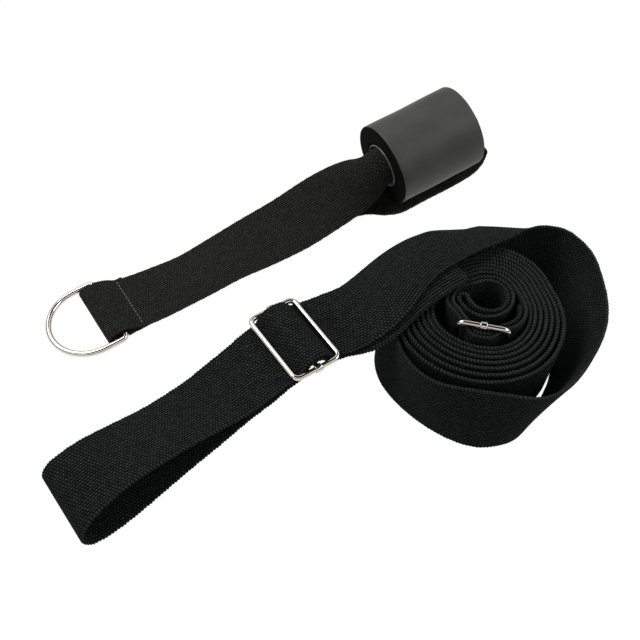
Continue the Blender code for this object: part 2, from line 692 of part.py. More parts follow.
def build():
    clear_scene()
    home = collection("door_stretching_strap")
    cutters = collection("cutters")
    layout = bpy.data.objects.new("layout", None)
    home.objects.link(layout)
    layout.location = (-FOOTPRINT_MIDDLE[0] * MM, -FOOTPRINT_MIDDLE[1] * MM, 0)

    strap_cloth = material("strap_cotton", (0.010, 0.013, 0.015), 0.9)
    anchor_cloth = material("anchor_nylon", (0.016, 0.017, 0.014), 0.75)
    foam = material("roll_foam", (0.07, 0.075, 0.065), 0.8)
    tube = material("liner_plastic", (0.06, 0.06, 0.06), 0.5)
    nickel = material("nickel_plate", (0.72, 0.70, 0.67), 0.18, 1.0)
    thread = material("sewing_thread", (0.03, 0.03, 0.03), 0.7)

    ribbon("strap_front_loop", front_route(), 5, STRAP_THICK, strap_cloth, home, layout)
    ribbon("strap_outer_turn", outer_turn_route(), 3, STRAP_THICK, strap_cloth, home, layout)
    coil = coil_route()
    ribbon("strap_coil", coil, 2, STRAP_THICK, strap_cloth, home, layout)
    print("coil: least gap between turns %.2f mm at %s" % least_gap(coil, STRAP_THICK))

    front = [buckle_frame("front_slider_frame", nickel, home, layout),
             buckle_bar("front_slider_bar", nickel, home, cutters, layout)]
    turn = radians(FRONT_BUCKLE_TURN)
    place_buckle(front + list(cutters.objects), FRONT_BUCKLE,
                 ((cos(turn), sin(turn), 0), (-sin(turn), cos(turn), 0), (0, 0, 1)))
    made = set(cutters.objects)
    rear = [buckle_frame("rear_slider_frame", nickel, home, layout),
            buckle_bar("rear_slider_bar", nickel, home, cutters, layout)]
    middle, along, outward = rear_buckle_frame()
    place_buckle(rear + [item for item in cutters.objects if item not in made], middle,
                 (along, outward.cross(along), outward))

    ribbon("anchor_webbing", anchor_route(), 7, ANCHOR_THICK, anchor_cloth, home, layout)
    seam = [(x, y, z + ANCHOR_THICK / 2 + THREAD + 0.1) for x, y, z in (RING_SEAM_NEAR, RING_SEAM_FAR)]
    stitch_row("anchor_ring_stitching", seam[0], seam[1], thread, home, layout)
    d_ring(nickel, home, layout)
    roll = [foam_roll(foam, home, layout), roll_liner(tube, home, layout)]
    spot, axis, side, rise = roll_frame()
    for part in roll:
        part.matrix_local = Matrix.Translation(spot * MM) @ Matrix((axis, side, rise)).transposed().to_4x4()
    return layout


build()
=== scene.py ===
"""Looks of the door stretching strap: woven webbing, plated wire, foam roll and seam thread."""
import bpy
import bmesh
import numpy as np
from math import ceil, cos, degrees, hypot, pi, radians, sin, sqrt, tan, tau
from mathutils import Matrix, Vector


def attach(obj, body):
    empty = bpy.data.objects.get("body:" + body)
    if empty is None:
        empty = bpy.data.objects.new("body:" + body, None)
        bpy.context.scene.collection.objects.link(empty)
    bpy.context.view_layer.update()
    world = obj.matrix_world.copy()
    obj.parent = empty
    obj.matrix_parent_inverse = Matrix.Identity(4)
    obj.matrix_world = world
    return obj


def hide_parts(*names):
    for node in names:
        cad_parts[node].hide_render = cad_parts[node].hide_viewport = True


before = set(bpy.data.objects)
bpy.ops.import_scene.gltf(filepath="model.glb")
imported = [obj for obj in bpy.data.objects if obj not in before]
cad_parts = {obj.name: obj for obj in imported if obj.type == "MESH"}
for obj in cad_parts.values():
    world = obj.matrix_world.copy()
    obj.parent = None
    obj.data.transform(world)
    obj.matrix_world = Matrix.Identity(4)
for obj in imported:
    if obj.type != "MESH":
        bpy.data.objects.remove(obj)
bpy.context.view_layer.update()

# Lengths of the routes are millimetres in the layout's axes; ORIGIN moves them to the part's own.
# A station of a route is a chord across the webbing: one edge's point, the other's, and the bulge.
MM = 0.001
ORIGIN = (5.39, 16.21, 0.0)

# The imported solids' own sizes, where a shown piece is a little fuller than its solid
CAD_WIRE = 1.25
CAD_EYE_OUTER = 2.0
CAD_RING_WIRE = 1.55
CAD_HALF_THICK = 0.85

# Long strap
STRAP_WIDTH = 37.8
STRAP_THICK = 1.9
LAYER_STEP = 2.35
TABLE_GAP = 0.3
FOOT_LIFT = 0.3
JOIN_GAP = 0.35

# Sliding buckles
BUCKLE_ACROSS = 43.6
BUCKLE_ALONG = 26.8
BUCKLE_WIRE = 1.36
BUCKLE_CORNER = 3.2
BAR_RADIUS = 1.28
EYE_BORE = 1.5
EYE_OUTER = 2.1
EYE_LENGTH = 3.4
FRONT_BUCKLE = (-33.0, -26.0, 37.5)
FRONT_BUCKLE_TURN = -1.5
UNDER_BAR = 2.55
OVER_BAR = 2.5
PLATEAU = 1.8
WEAVE_REACH = 10.4

# Coil
HOLLOW = (59.7, -57.8)
POINTS_PER_TURN = 24
COIL_PASSES = 8
COIL_END_AZIMUTH = 130.0
REAR_BUCKLE_AZIMUTH = 222.0
REAR_BUCKLE_RADIUS = 25.0
EXIT_AZIMUTH = 250.0
LOOP_AZIMUTHS = (158, 541)
LOOP_RISE = (505, 50)
# How far each layer runs straight inside the rear buckle
TAIL_IN_BUCKLE = (-8.0, 9.3)
STRAP_IN_BUCKLE = (-9.0, 11.0)

# Door anchor
ANCHOR_WIDTH = 36.6
ANCHOR_THICK = 1.75
RING_WIRE = 1.6
RING_STRAIGHT = 12.0
RING_RADIUS = 21.0
RING_BAR = (-86.8, 65.4, 4.0)
RING_TURN = 176.7
RING_DROOP = 4.2
ROLL_FRONT = (77.6, 51.7, 26.1)
ROLL_TURN = -4.1
ROLL_TILT = 6.0
ROLL_RADIUS = 23.1
ROLL_LENGTH = 52.3
ROLL_LINER_RADIUS = 12.4
ROLL_LINER_WALL = 1.0
SHOWN_LINER_WALL = 0.7
ROLL_LINER_PROUD = 0.4
BORE_ROOM = 0.9
RING_SEAM_NEAR = (-77.4, 48.0, 3.75)
RING_SEAM_FAR = (-75.2, 79.8, 3.5)

# Spacing of the stations read along the routes
TAIL_STEP = 9.0
RUN_STEP = 8.0
TURN_STEP = 6.0
ANCHOR_STEP = 6.5

# Weave: a bead's pitch along the webbing, rows across one face, and the relief of beads and selvedges
STRAP_BEAD = 1.6
STRAP_ROWS = 26
STRAP_RELIEF = 0.11
STRAP_SCALLOP = 0.24
ANCHOR_BEAD = 1.36
ANCHOR_ROWS = 26
ANCHOR_RELIEF = 0.07
ANCHOR_SCALLOP = 0.2
SUNK_BEAD = 0.15
RIM_REACH = 2.6
LEAST_BULGE = 0.02
END_THIN = 0.45

# Camera and light levels
LENS = 62.44
CAMERA_SPOT = (-0.1977, -0.2738, 0.4531)
CAMERA_AIM = (0.00539, 0.01621, 0.0)
FLOOR_SIZE = 6.0
FLOOR_GREY = 0.3
FLOOR_SHARE = 0.9
STUDIO_LEVEL = 1.1
# The studio's brightness by height: a low white wall, a dark band, a bright band and a dark ceiling
STUDIO_BANDS = [(0.0, 1.0), (0.05, 1.0), (0.1, 0.03), (0.37, 0.03), (0.45, 0.95), (0.71, 1.1),
                (0.8, 0.04), (1.0, 0.03)]
LAMPS = [("key", (-0.25, 0.45, 0.75), 0.5, 5.0), ("fill", (0.55, -0.35, 0.6), 0.4, 2.0)]


def smooth(t):
    """A soft step from 0 to 1."""
    t = min(max(t, 0.0), 1.0)
    return t * t * (3 - 2 * t)


def catmull(points, spacing):
    """Points read from a smooth curve through the given ones, about one spacing apart."""
    out = []
    last = len(points) - 1
    for k in range(last):
        p0 = points[max(k - 1, 0)]
        p1, p2 = points[k], points[k + 1]
        p3 = points[min(k + 2, last)]
        steps = max(1, round(sqrt(sum((b - a) ** 2 for a, b in zip(p1[:3], p2[:3]))) / spacing))
        for j in range(steps):
            t = j / steps
            out.append([0.5 * (2 * b + (c - a) * t + (2 * a - 5 * b + 4 * c - d) * t * t
                               + (3 * b - a - 3 * c + d) * t ** 3)
                        for a, b, c, d in zip(p0, p1, p2, p3)])
    out.append(list(points[last]))
    return out


def weave():
    """Places of a strap's two layers in a buckle, along it and off its plane."""
    inner = []
    height = OVER_BAR + UNDER_BAR + LAYER_STEP
    count = 16
    for k in range(count + 1):
        along = WEAVE_REACH * (2 * k / count - 1)
        fall = max(0.0, (abs(along) - PLATEAU) / (WEAVE_REACH - PLATEAU))
        inner.append((along, OVER_BAR - height * (1 - cos(pi * fall)) / 2))
    outer = []
    for k, (along, off) in enumerate(inner):
        a, b = inner[max(k - 1, 0)], inner[min(k + 1, count)]
        run, rise = b[0] - a[0], b[1] - a[1]
        size = hypot(run, rise)
        outer.append((along - rise / size * LAYER_STEP, off + run / size * LAYER_STEP))
    return inner, outer


def front_route():
    """Stations of the front of the long strap, from its tail round the loop and along the run."""
    middle, across, height = FRONT_BUCKLE
    near, far = across - STRAP_WIDTH / 2, across + STRAP_WIDTH / 2
    tail = [
        (57.0, -48.0, 39.8, 52.5, -10.8, 31.8, -4.8),
        (44.0, -47.6, 39.8, 39.5, -10.2, 31.8, -4.8),
        (30.0, -49.0, 39.8, 25.5, -11.8, 32.2, -4.5),
        (17.0, -51.5, 39.7, 13.0, -14.2, 33.8, -2.8),
        (6.0, -54.0, 39.5, 4.3, -16.4, 35.6, -1.2),
        (-3.0, -54.3, 38.8, -1.5, -16.8, 36.3, -0.3),
        (-10.0, -51.5, 36.4, -9.3, -13.9, 35.8, 0.0),
        (-15.4, -47.6, 33.9, -15.0, -9.8, 33.7, 0.0),
        (-18.8, -45.5, 32.6, -18.6, -7.7, 32.6, 0.0),
    ]
    lower = [
        (-50.0, near, 30.9, -50.0, far, 30.2, 0.0),
        (-57.0, near, 28.0, -57.0, far, 26.0, 0.0),
        (-71.0, near, 24.3, -71.0, far, 19.4, 0.0),
        (-87.0, near, 18.2, -87.0, far, 12.0, 0.0),
        (-103.0, near, 12.6, -103.0, far, 6.6, 0.0),
        (-119.0, near - 0.5, 7.2, -119.0, far - 0.3, 3.0, 0.0),
        (-135.0, near - 1.5, 2.9, -135.0, far - 0.8, 1.6, 0.0),
        (-149.0, near - 2.3, 1.3, -148.5, far - 1.4, 1.3, 0.0),
        (-156.5, near - 2.6, 3.0, -156.0, far - 1.6, 4.2, 0.0),
        (-160.0, near - 2.4, 8.5, -159.8, far - 1.4, 11.0, 0.0),
    ]
    upper = [
        (-157.5, near - 1.8, 15.5, -156.5, far - 0.9, 16.8, 0.0),
        (-150.5, near - 1.0, 20.4, -149.0, far - 0.4, 19.2, 0.0),
        (-141.0, near - 0.4, 24.7, -139.0, far, 20.2, 0.0),
        (-127.0, near, 28.2, -126.0, -7.6, 20.2, 0.0),
        (-105.0, near, 30.0, -105.0, -8.4, 20.0, 0.0),
        (-83.0, near, 29.4, -83.0, -7.9, 22.2, 0.0),
        (-72.0, near, 29.0, -72.0, far, 24.8, 0.0),
        (-59.0, near, 31.4, -59.0, far, 29.4, 0.0),
        (-50.5, near, 33.7, -50.5, far, 33.1, 0.0),
    ]
    run = [
        (-18.8, -45.5, 35.0, -18.6, -7.7, 35.0, 0.0),
        (-14.8, -47.6, 36.5, -14.2, -9.9, 36.5, 0.0),
        (-9.0, -50.2, 39.6, -9.0, -12.5, 39.0, 0.0),
        (-1.0, -51.3, 41.7, -3.0, -13.7, 39.1, 0.3),
        (8.0, -50.4, 42.8, 1.8, -13.9, 38.6, 0.8),
        (20.2, -46.9, 43.5, 8.5, -12.0, 36.6, 1.5),
        (31.0, -42.4, 44.0, 20.0, -8.3, 33.8, 3.2),
        (43.0, -38.6, 44.0, 36.0, -4.0, 31.2, 4.1),
        (54.4, -37.8, 44.0, 52.0, -3.0, 30.6, 4.1),
    ]

    def level(along, off):
        """A station square to the buckle, at one height."""
        return [middle + along, near, height + off, middle + along, far, height + off, 0.0]

    inner, outer = weave()
    tail_pass = [level(*place) for place in reversed(inner)]
    main_pass = [level(*place) for place in outer]
    return (catmull(tail + tail_pass[:1], TAIL_STEP)[:-1] + tail_pass
            + catmull(tail_pass[-1:] + lower + upper + main_pass[:1], RUN_STEP)[1:-1] + main_pass
            + catmull(main_pass[-1:] + run, RUN_STEP)[1:])


def outer_turn_route():
    """Stations of the run's end and the loose outer turn: rim above, foot on the table."""
    foot = TABLE_GAP + FOOT_LIFT
    points = [
        (54.8, -37.8, 44.0, 52.4, -3.0, 30.6, 4.1),
        (66.0, -37.8, 44.0, 66.0, -3.6, 28.4, 2.8),
        (77.0, -38.2, 43.0, 78.0, -5.6, 23.8, 1.2),
        (88.5, -38.9, 42.0, 88.0, -8.0, 20.4, 0.8),
        (98.9, -38.8, 41.0, 98.0, -9.6, 17.2, 0.4),
        (103.4, -39.4, 40.5, 100.2, -16.0, 10.8, 0.3),
        (107.6, -40.3, 40.0, 102.0, -21.2, 7.8, 0.2),
        (113.5, -43.8, 39.3, 106.0, -28.6, 5.5, 0.0),
        (118.0, -48.8, 38.7, 109.0, -38.0, 3.5, 0.0),
        (119.9, -56.4, 37.9, 110.5, -48.5, 1.9, 0.0),
        (120.3, -64.0, 36.5, 108.9, -58.0, 0.9, 0.0),
        (118.5, -70.6, 35.9, 106.2, -65.6, foot, 0.0),
        (112.0, -82.3, 35.8, 100.4, -74.2, foot, 0.0),
        (105.1, -92.8, 34.9, 93.6, -81.0, foot, 0.0),
        (96.4, -101.8, 33.9, 85.2, -86.4, foot, 0.0),
        (86.1, -108.4, 33.7, 77.2, -91.8, foot, 0.0),
        (76.8, -112.7, 34.0, 69.7, -97.6, foot, 0.0),
        (68.7, -116.0, 34.6, 61.0, -102.4, foot, 0.0),
        (58.9, -118.9, 35.4, 52.4, -106.4, foot, 0.0),
        (48.8, -120.2, 36.8, 44.4, -109.8, foot, 0.0),
        (41.4, -118.8, 37.6, 39.0, -111.5, foot, 0.0),
        (35.8, -115.8, 38.2, 34.4, -112.3, foot, 0.0),
        (29.6, -109.8, 38.3, 28.8, -111.7, foot, 0.0),
        (22.4, -102.2, 38.0, 19.2, -107.4, foot, 0.0),
        (16.4, -96.0, 38.0, 12.8, -101.0, foot, 0.0),
        (9.0, -88.3, 38.1, 7.6, -91.5, foot, 0.0),
        (4.6, -81.0, 38.3, 4.2, -81.6, foot, 0.0),
        (2.6, -71.5, 38.3, 2.0, -70.8, foot, 0.0),
        (3.8, -61.5, 38.2, 1.2, -59.5, foot, 0.0),
        (6.4, -53.6, 37.9, 2.3, -49.6, foot, 0.0),
        (9.4, -46.4, 37.6, 5.4, -41.6, foot, 0.0),
        (13.2, -40.0, 37.5, 10.0, -35.2, foot, 0.0),
        (18.7, -34.6, 37.4, 16.6, -29.8, foot, 0.0),
        (24.6, -30.8, 37.5, 23.6, -28.2, foot, 0.0),
    ]
    before, end = coil_route()[-2:]
    run = Vector([end[j] + end[j + 3] - before[j] - before[j + 3] for j in range(3)]).normalized()
    points.append([end[j] + run[j % 3] * JOIN_GAP for j in range(6)] + [0.0])
    return catmull(points, TURN_STEP)


def hermite(t, a, b, slope_a, slope_b):
    """A smooth value between a and b, from their slopes."""
    return ((2 * t ** 3 - 3 * t * t + 1) * a + (t ** 3 - 2 * t * t + t) * slope_a
            + (3 * t * t - 2 * t ** 3) * b + (t ** 3 - t * t) * slope_b)


def periodic(table, azimuth):
    """A value read from a table of azimuth and value pairs, smoothly and all the way round."""
    azimuth %= 360
    count = len(table)
    for k in range(count):
        a, b = table[k], table[(k + 1) % count]
        width = (b[0] - a[0]) % 360
        place = (azimuth - a[0]) % 360
        if place < width:
            before, after = table[k - 1], table[(k + 2) % count]
            t = place / width
            slope_a = (b[1] - before[1]) / ((b[0] - before[0]) % 360) * width
            slope_b = (after[1] - a[1]) / ((after[0] - a[0]) % 360) * width
            return hermite(t, a[1], b[1], slope_a, slope_b)
    return table[0][1]


# Radius of the coil's first full layer at each azimuth about the hollow
FIRST_LAYER = [(0, 15.0), (30, 15.05), (60, 15.1), (75, 15.2), (90, 15.5), (105, 16.8), (120, 19.6),
               (135, 23.3), (150, 27.3), (165, 30.7), (180, 32.7), (195, 33.3), (210, 33.4),
               (225, 33.2), (240, 32.4), (250, 31.2), (260, 29.0), (270, 26.7), (285, 23.1),
               (300, 20.1), (315, 17.5), (330, 15.8), (345, 15.2)]
# How fast the layers loosen outward at their top edges
LOOSENING = [(0, 0.0), (60, 0.0), (120, 0.03), (165, 0.11), (195, 0.15), (225, 0.15), (250, 0.13),
             (270, 0.115), (285, 0.09), (300, 0.058), (315, 0.03), (330, 0.0)]
# Extra room between the first layers, where they run at a slant to the radius
SLANT_ROOM = [(0, 0.0), (90, 0.0), (105, 0.16), (120, 0.32), (135, 0.38), (150, 0.3), (165, 0.15),
              (180, 0.05), (210, 0.0), (240, 0.0), (255, 0.1), (270, 0.2), (285, 0.26), (300, 0.22),
              (315, 0.1), (330, 0.0)]
# Radius of the rear loop's inner layer in its first turn, from the fold outward
RING_LAYER = [(155, 10.6), (180, 10.6), (210, 10.6), (240, 10.5), (270, 10.1), (300, 9.5), (330, 8.9),
              (360, 8.6), (405, 8.6), (435, 8.6), (450, 8.9), (465, 10.1), (480, 12.6), (495, 15.5),
              (510, 17.8), (525, 19.0), (540, 19.7)]
# Extra room between the rear loop's two layers near its fold
FOLD_ROOM = [(155, 2.1), (180, 2.0), (210, 1.6), (240, 0.9), (270, 0.3), (300, 0.0), (405, 0.0),
             (435, 0.1), (465, 0.5), (495, 0.6), (525, 0.2), (540, 0.0)]


def along_table(table, place):
    """A value read from a table of increasing places, smoothly."""
    for k in range(len(table) - 1):
        a, b = table[k], table[k + 1]
        if place <= b[0]:
            before, after = table[max(k - 1, 0)], table[min(k + 2, len(table) - 1)]
            width = b[0] - a[0]
            t = (place - a[0]) / width
            slope_a = (b[1] - before[1]) / (b[0] - before[0]) * width
            slope_b = (after[1] - a[1]) / (after[0] - a[0]) * width
            return hermite(t, a[1], b[1], slope_a, slope_b)
    return table[-1][1]


def polar(azimuth, radius):
    """A spot in plan, by its azimuth and distance about the coil's hollow."""
    a = radians(azimuth)
    return HOLLOW[0] + radius * cos(a), HOLLOW[1] + radius * sin(a)


def standing(top, foot, lift=0.0):
    """A station of a strap standing on edge, from its top edge down to its foot."""
    lean = hypot(top[0] - foot[0], top[1] - foot[1])
    low = TABLE_GAP + lift
    return [top[0], top[1], low + sqrt(STRAP_WIDTH ** 2 - lean ** 2), foot[0], foot[1], low, 0.0]


def rear_buckle_frame():
    """Middle of the rear buckle and its directions: along the strap and outward."""
    a = radians(REAR_BUCKLE_AZIMUTH)
    outward = Vector((cos(a), sin(a), 0))
    along = Vector((-sin(a), cos(a), 0))
    x, y = polar(REAR_BUCKLE_AZIMUTH, REAR_BUCKLE_RADIUS)
    height = TABLE_GAP + CAD_EYE_OUTER + BUCKLE_ACROSS / 2 - CAD_WIRE
    return Vector((x, y, height)), along, outward


def buckle_lift():
    """How far the strap is lifted off the table where it passes the rear buckle."""
    return rear_buckle_frame()[0].z - STRAP_WIDTH / 2 - TABLE_GAP


def in_rear_buckle(places, first, last):
    """Stations of a layer inside the rear buckle, in the order given, between two places along it."""
    middle, along, outward = rear_buckle_frame()
    spots = [middle + along * run + outward * off for run, off in places if first <= run <= last]
    return [standing(spot, spot, buckle_lift()) for spot in spots]


def coil_azimuths(first, last):
    """The coil's station azimuths between two others."""
    step = 360 / POINTS_PER_TURN
    return [k * step for k in range(int(first // step) + 1, ceil(last / step))]


def coil_route():
    """Stations of the coil, from the rear tail inward, round the fold and outward to the outer turn."""
    inner, outer = weave()
    step = LAYER_STEP
    lift = buckle_lift()
    settle_depth, settle_reach = 3.1, 32
    tail_gap, tail_end, tail_fall, strap_fall = 0.5, 315, 60, 80

    def main_layer(azimuth):
        turns = (azimuth - EXIT_AZIMUTH) / 360 - 1
        first = periodic(FIRST_LAYER, azimuth)
        loose = periodic(LOOSENING, azimuth) * max(turns, 0.0) ** 2
        settle = 1 - smooth((azimuth - EXIT_AZIMUTH) / settle_reach)
        slant = periodic(SLANT_ROOM, azimuth) * min(max(turns, -1.0), 3.0)
        foot = first + step * turns + slant - settle_depth * settle
        return foot + loose, foot

    def loop_lift(azimuth):
        start, reach = LOOP_RISE
        return lift * smooth((azimuth - start) / reach)

    stations = []

    def add(azimuth, radius, lifted=0.0):
        spot = polar(azimuth, radius)
        stations.append(standing(spot, spot, lifted))

    # The rear tail lies inside the main layer and ends a short way past the buckle
    for azimuth in reversed(coil_azimuths(EXIT_AZIMUTH + 2, tail_end)):
        lifted = lift * (1 - smooth((azimuth - EXIT_AZIMUTH) / tail_fall))
        add(azimuth, main_layer(azimuth)[1] - step - tail_gap, lifted)
    stations += in_rear_buckle(list(reversed(inner)), *TAIL_IN_BUCKLE)
    # The loop's inner layer runs inward to the fold
    for azimuth in reversed(coil_azimuths(*LOOP_AZIMUTHS)):
        add(azimuth, along_table(RING_LAYER, azimuth), loop_lift(azimuth))
    fold_azimuth, near_radius = RING_LAYER[0]
    room = step + FOLD_ROOM[0][1]
    fold_steps = 5
    for k in range(1, fold_steps):
        angle = pi * k / fold_steps
        swing = degrees(room / 2 * sin(angle) / (near_radius + room / 2))
        add(fold_azimuth - swing, near_radius + room / 2 * (1 - cos(angle)))
    # The loop's outer layer runs back out beside it
    for azimuth in coil_azimuths(*LOOP_AZIMUTHS):
        radius = along_table(RING_LAYER, azimuth) + step + along_table(FOLD_ROOM, azimuth)
        add(azimuth, radius, loop_lift(azimuth))
    stations += in_rear_buckle(outer, *STRAP_IN_BUCKLE)
    # The single strap winds outward, layer on layer
    last = 360 * COIL_PASSES + COIL_END_AZIMUTH
    for azimuth in coil_azimuths(EXIT_AZIMUTH + 2, last - 3) + [last]:
        top, foot = main_layer(azimuth)
        lifted = lift * (1 - smooth((azimuth - EXIT_AZIMUTH) / strap_fall))
        stations.append(standing(polar(azimuth, top), polar(azimuth, foot), lifted))
    return stations


def roll_frame():
    """Middle of the roll's front end and its directions: axis, side and rise."""
    a, b = radians(ROLL_TURN), radians(ROLL_TILT)
    axis = Vector((cos(b) * cos(a), cos(b) * sin(a), sin(b)))
    side = Vector((-sin(a), cos(a), 0))
    return Vector(ROLL_FRONT), axis, side, axis.cross(side)


def anchor_route():
    """Stations of the anchor's webbing: ring tail, pocket, strap, bore, and back under the roll."""
    half = ANCHOR_WIDTH / 2
    y = RING_BAR[1]
    low = TABLE_GAP + CAD_HALF_THICK
    lean = tan(radians(RING_TURN - 180))

    def ring_end(back, height):
        x = RING_BAR[0] - back
        return (x + half * lean, y - half, height, x - half * lean, y + half, height, 0.0)

    above = RING_BAR[2] + CAD_RING_WIRE + TABLE_GAP + CAD_HALF_THICK
    pocket = [ring_end(*spot) for spot in (
        (-15.0, low), (-8.0, low), (0.0, low), (5.5, low + 0.15), (8.2, low + 1.3), (8.9, low + 2.9),
        (8.2, low + 4.4), (5.5, above - 0.1), (0.0, above), (-5.2, above - 1.9))]
    strap = [
        (-77.6, 45.9, 3.7, -75.4, 81.9, 3.5, 0.0),
        (-66.0, 44.2, 4.2, -66.0, 80.0, 3.2, 0.2),
        (-52.0, 42.6, 6.0, -52.0, 78.6, 2.6, 0.6),
        (-38.0, 41.6, 7.2, -38.5, 77.6, 2.4, 0.9),
        (-20.0, 43.0, 5.6, -20.5, 79.2, 2.4, 0.6),
        (0.6, 43.2, 3.0, 1.0, 79.6, 4.8, 0.3),
        (22.3, 42.6, 2.9, 22.4, 78.4, 8.6, 0.4),
        (42.4, 43.4, 4.2, 42.6, 78.6, 12.0, 1.4),
        (55.0, 43.0, 7.0, 55.5, 76.0, 16.0, 4.0),
        (65.5, 42.2, 12.5, 66.5, 69.5, 21.5, 7.6),
    ]
    front, axis, side, rise = roll_frame()
    radius = ROLL_LINER_RADIUS - ROLL_LINER_WALL - BORE_ROOM - CAD_HALF_THICK
    half_angle = ANCHOR_WIDTH / radius / 2
    aside, up = side * (radius * sin(half_angle)), rise * (radius * cos(half_angle))
    bore = []
    for place in (0.0, 13.0, 26.0, 39.0, ROLL_LENGTH):
        spot = front + axis * place
        bore.append((*(spot - aside + up), *(spot + aside + up), radius * (1 - cos(half_angle))))
    wrap = [
        (133.0, 38.4, 29.0, 133.0, 60.0, 31.0, 7.6),
        (137.0, 39.6, 22.4, 137.2, 67.4, 24.6, 4.6),
        (141.0, 41.0, 15.2, 142.0, 75.0, 17.0, 1.6),
        (144.8, 41.8, 9.8, 146.2, 78.2, 10.6, 0.3),
        (147.2, 41.6, 5.4, 149.2, 78.0, 5.6, 0.1),
        (143.4, 39.4, 2.4, 145.6, 75.8, 2.4, 0.0),
        (134.0, 36.4, low, 135.6, 72.8, low, 0.0),
        (118.0, 35.2, low, 118.8, 71.6, low, 0.0),
        (100.0, 35.4, low, 100.0, 72.0, low, 0.0),
        (80.5, 35.6, low, 80.5, 72.2, low, 0.0),
        (72.5, 39.0, low, 73.5, 75.4, low, 0.0),
        (65.0, 45.0, low, 67.0, 81.4, low, 0.0),
        (58.0, 47.9, low, 60.0, 84.2, low, 0.0),
    ]
    return (catmull(pocket + strap + bore[:1], ANCHOR_STEP)[:-1] + bore[:-1]
            + catmull(bore[-1:] + wrap, ANCHOR_STEP))


def middles(s):
    """The chords' middles, the gaps between them, and their distances from the first."""
    middle = (s[:, 0:3] + s[:, 3:6]) / 2
    gap = np.linalg.norm(np.diff(middle, axis=0), axis=1)
    return middle, gap, np.concatenate([[0.0], np.cumsum(gap)])


def fine_stations(stations, step):
    """Stations read one step apart from a smooth curve through the given ones."""
    s = np.array([list(row) for row in stations], float)
    _, gap, place = middles(s)
    slope = np.diff(s, axis=0) / gap[:, None]
    tangent = np.empty_like(s)
    tangent[1:-1] = ((slope[:-1] * gap[1:, None] + slope[1:] * gap[:-1, None])
                     / (gap[1:] + gap[:-1])[:, None])
    tangent[0], tangent[-1] = slope[0], slope[-1]
    count = 2 * round(place[-1] / step / 2)
    spot = np.linspace(0.0, place[-1], count + 1)
    k = np.clip(np.searchsorted(place, spot, side="right") - 1, 0, len(gap) - 1)
    width = gap[k][:, None]
    t = (spot - place[k])[:, None] / width
    return hermite(t, s[k], s[k + 1], width * tangent[k], width * tangent[k + 1])


def section(width, thick, rows, edge):
    """Points round a section, as place across, place off the middle, and 1 on a rounded selvedge."""
    columns = 2 * rows + 1
    half = width / 2 - edge
    across = [half * (2 * j / (columns - 1) - 1) for j in range(columns)]
    angles = (58, 22, -22, -58)
    ring = [(v, thick / 2, 0.0) for v in across]
    ring += [(half + edge * cos(radians(a)), thick / 2 * sin(radians(a)), 1.0) for a in angles]
    ring += [(v, -thick / 2, 0.0) for v in reversed(across)]
    ring += [(-half - edge * cos(radians(a)), -thick / 2 * sin(radians(a)), 1.0) for a in angles]
    return np.array(ring)


def webbing(s, width, thick, rows, relief, scallop, first_round=0.0, last_round=0.0, edge=0.85):
    """The points of a woven band: rings of a rounded section along its stations, s.

    Even columns are the tops of the rows and odd ones the gaps between them; along a row every other
    ring is the top of a bead, staggered from row to row. The ends' corners have the radii first_round
    and last_round, and edge is how far the selvedges reach past the faces.
    """
    ring = section(width, thick, rows, edge)
    count, around = len(s), len(ring)
    middle, _, place = middles(s)
    chord = s[:, 3:6] - s[:, 0:3]
    length = np.linalg.norm(chord, axis=1)[:, None]
    side = chord / length
    run = np.gradient(middle, axis=0)
    up = np.cross(run, side)
    up /= np.linalg.norm(up, axis=1)[:, None]
    bulge = s[:, 6:7]
    bulge = np.where(np.abs(bulge) < LEAST_BULGE, LEAST_BULGE, bulge)
    radius = (length ** 2 / 4 + bulge ** 2) / (2 * bulge)
    half = 2 * np.arctan(2 * bulge / length)
    crown = middle + up * bulge
    narrow = np.ones(count)
    thin = np.ones(count)
    for distance, corner in ((place, first_round), (place[-1] - place, last_round)):
        inside = np.clip(corner - distance, 0.0, corner)
        narrow -= (corner - np.sqrt(np.maximum(corner ** 2 - inside ** 2, 0.0))) / (width / 2)
        close = np.clip(1 - distance / (thick / 2), 0.0, 1.0)
        thin = np.minimum(thin, END_THIN + (1 - END_THIN) * np.sqrt(1 - close ** 2))
    i = np.arange(count)[:, None]
    j = np.arange(around)[None, :]
    row = j // 2
    top = np.where((i + row) % 2 == 0, 1.0, SUNK_BEAD)
    height = np.where(j % 2 == 0, top, -1.0) * relief
    across, above, edges = ring.T[:, None, :]
    face = edges < 0.5
    # Slow waves along the selvedges make the scallops uneven, as sewn webbing's are
    wander = 0.55 * np.sin(i * 0.83) * np.sin(i * 0.19 + np.sign(across)) * scallop
    tooth = np.where(face, 0.0, np.where(i % 2 == 0, scallop, -scallop) + wander)
    v = across * narrow[:, None] + tooth * np.sign(across)
    off = above * thin[:, None] + np.where(face, height * np.sign(above), 0.0)
    angle = half * (2 * v / width)
    shape = (count, around, 1)
    a = angle.reshape(shape)
    big = radius[:, None, :]
    points = (crown[:, None, :] + side[:, None, :] * (big * np.sin(a))
              - up[:, None, :] * (big * (1 - np.cos(a)))
              + (side[:, None, :] * np.sin(a) + up[:, None, :] * np.cos(a)) * off.reshape(shape))
    points = (points + np.array(ORIGIN)) * MM
    rim = np.clip(1 - (width / 2 - np.abs(across[0])) / RIM_REACH, 0.0, 1.0)
    return points, rim, place[-1] * MM


def add_object(name, data):
    """An object in the scene with the given mesh, curve, lamp or camera."""
    made = bpy.data.objects.new(name, data)
    bpy.context.scene.collection.objects.link(made)
    return made


def add_smooth(name, mesh, finish, place):
    """A smooth shaded object of one material, moved to its place."""
    mesh.transform(place)
    mesh.materials.append(finish)
    mesh.shade_smooth()
    return add_object(name, mesh)


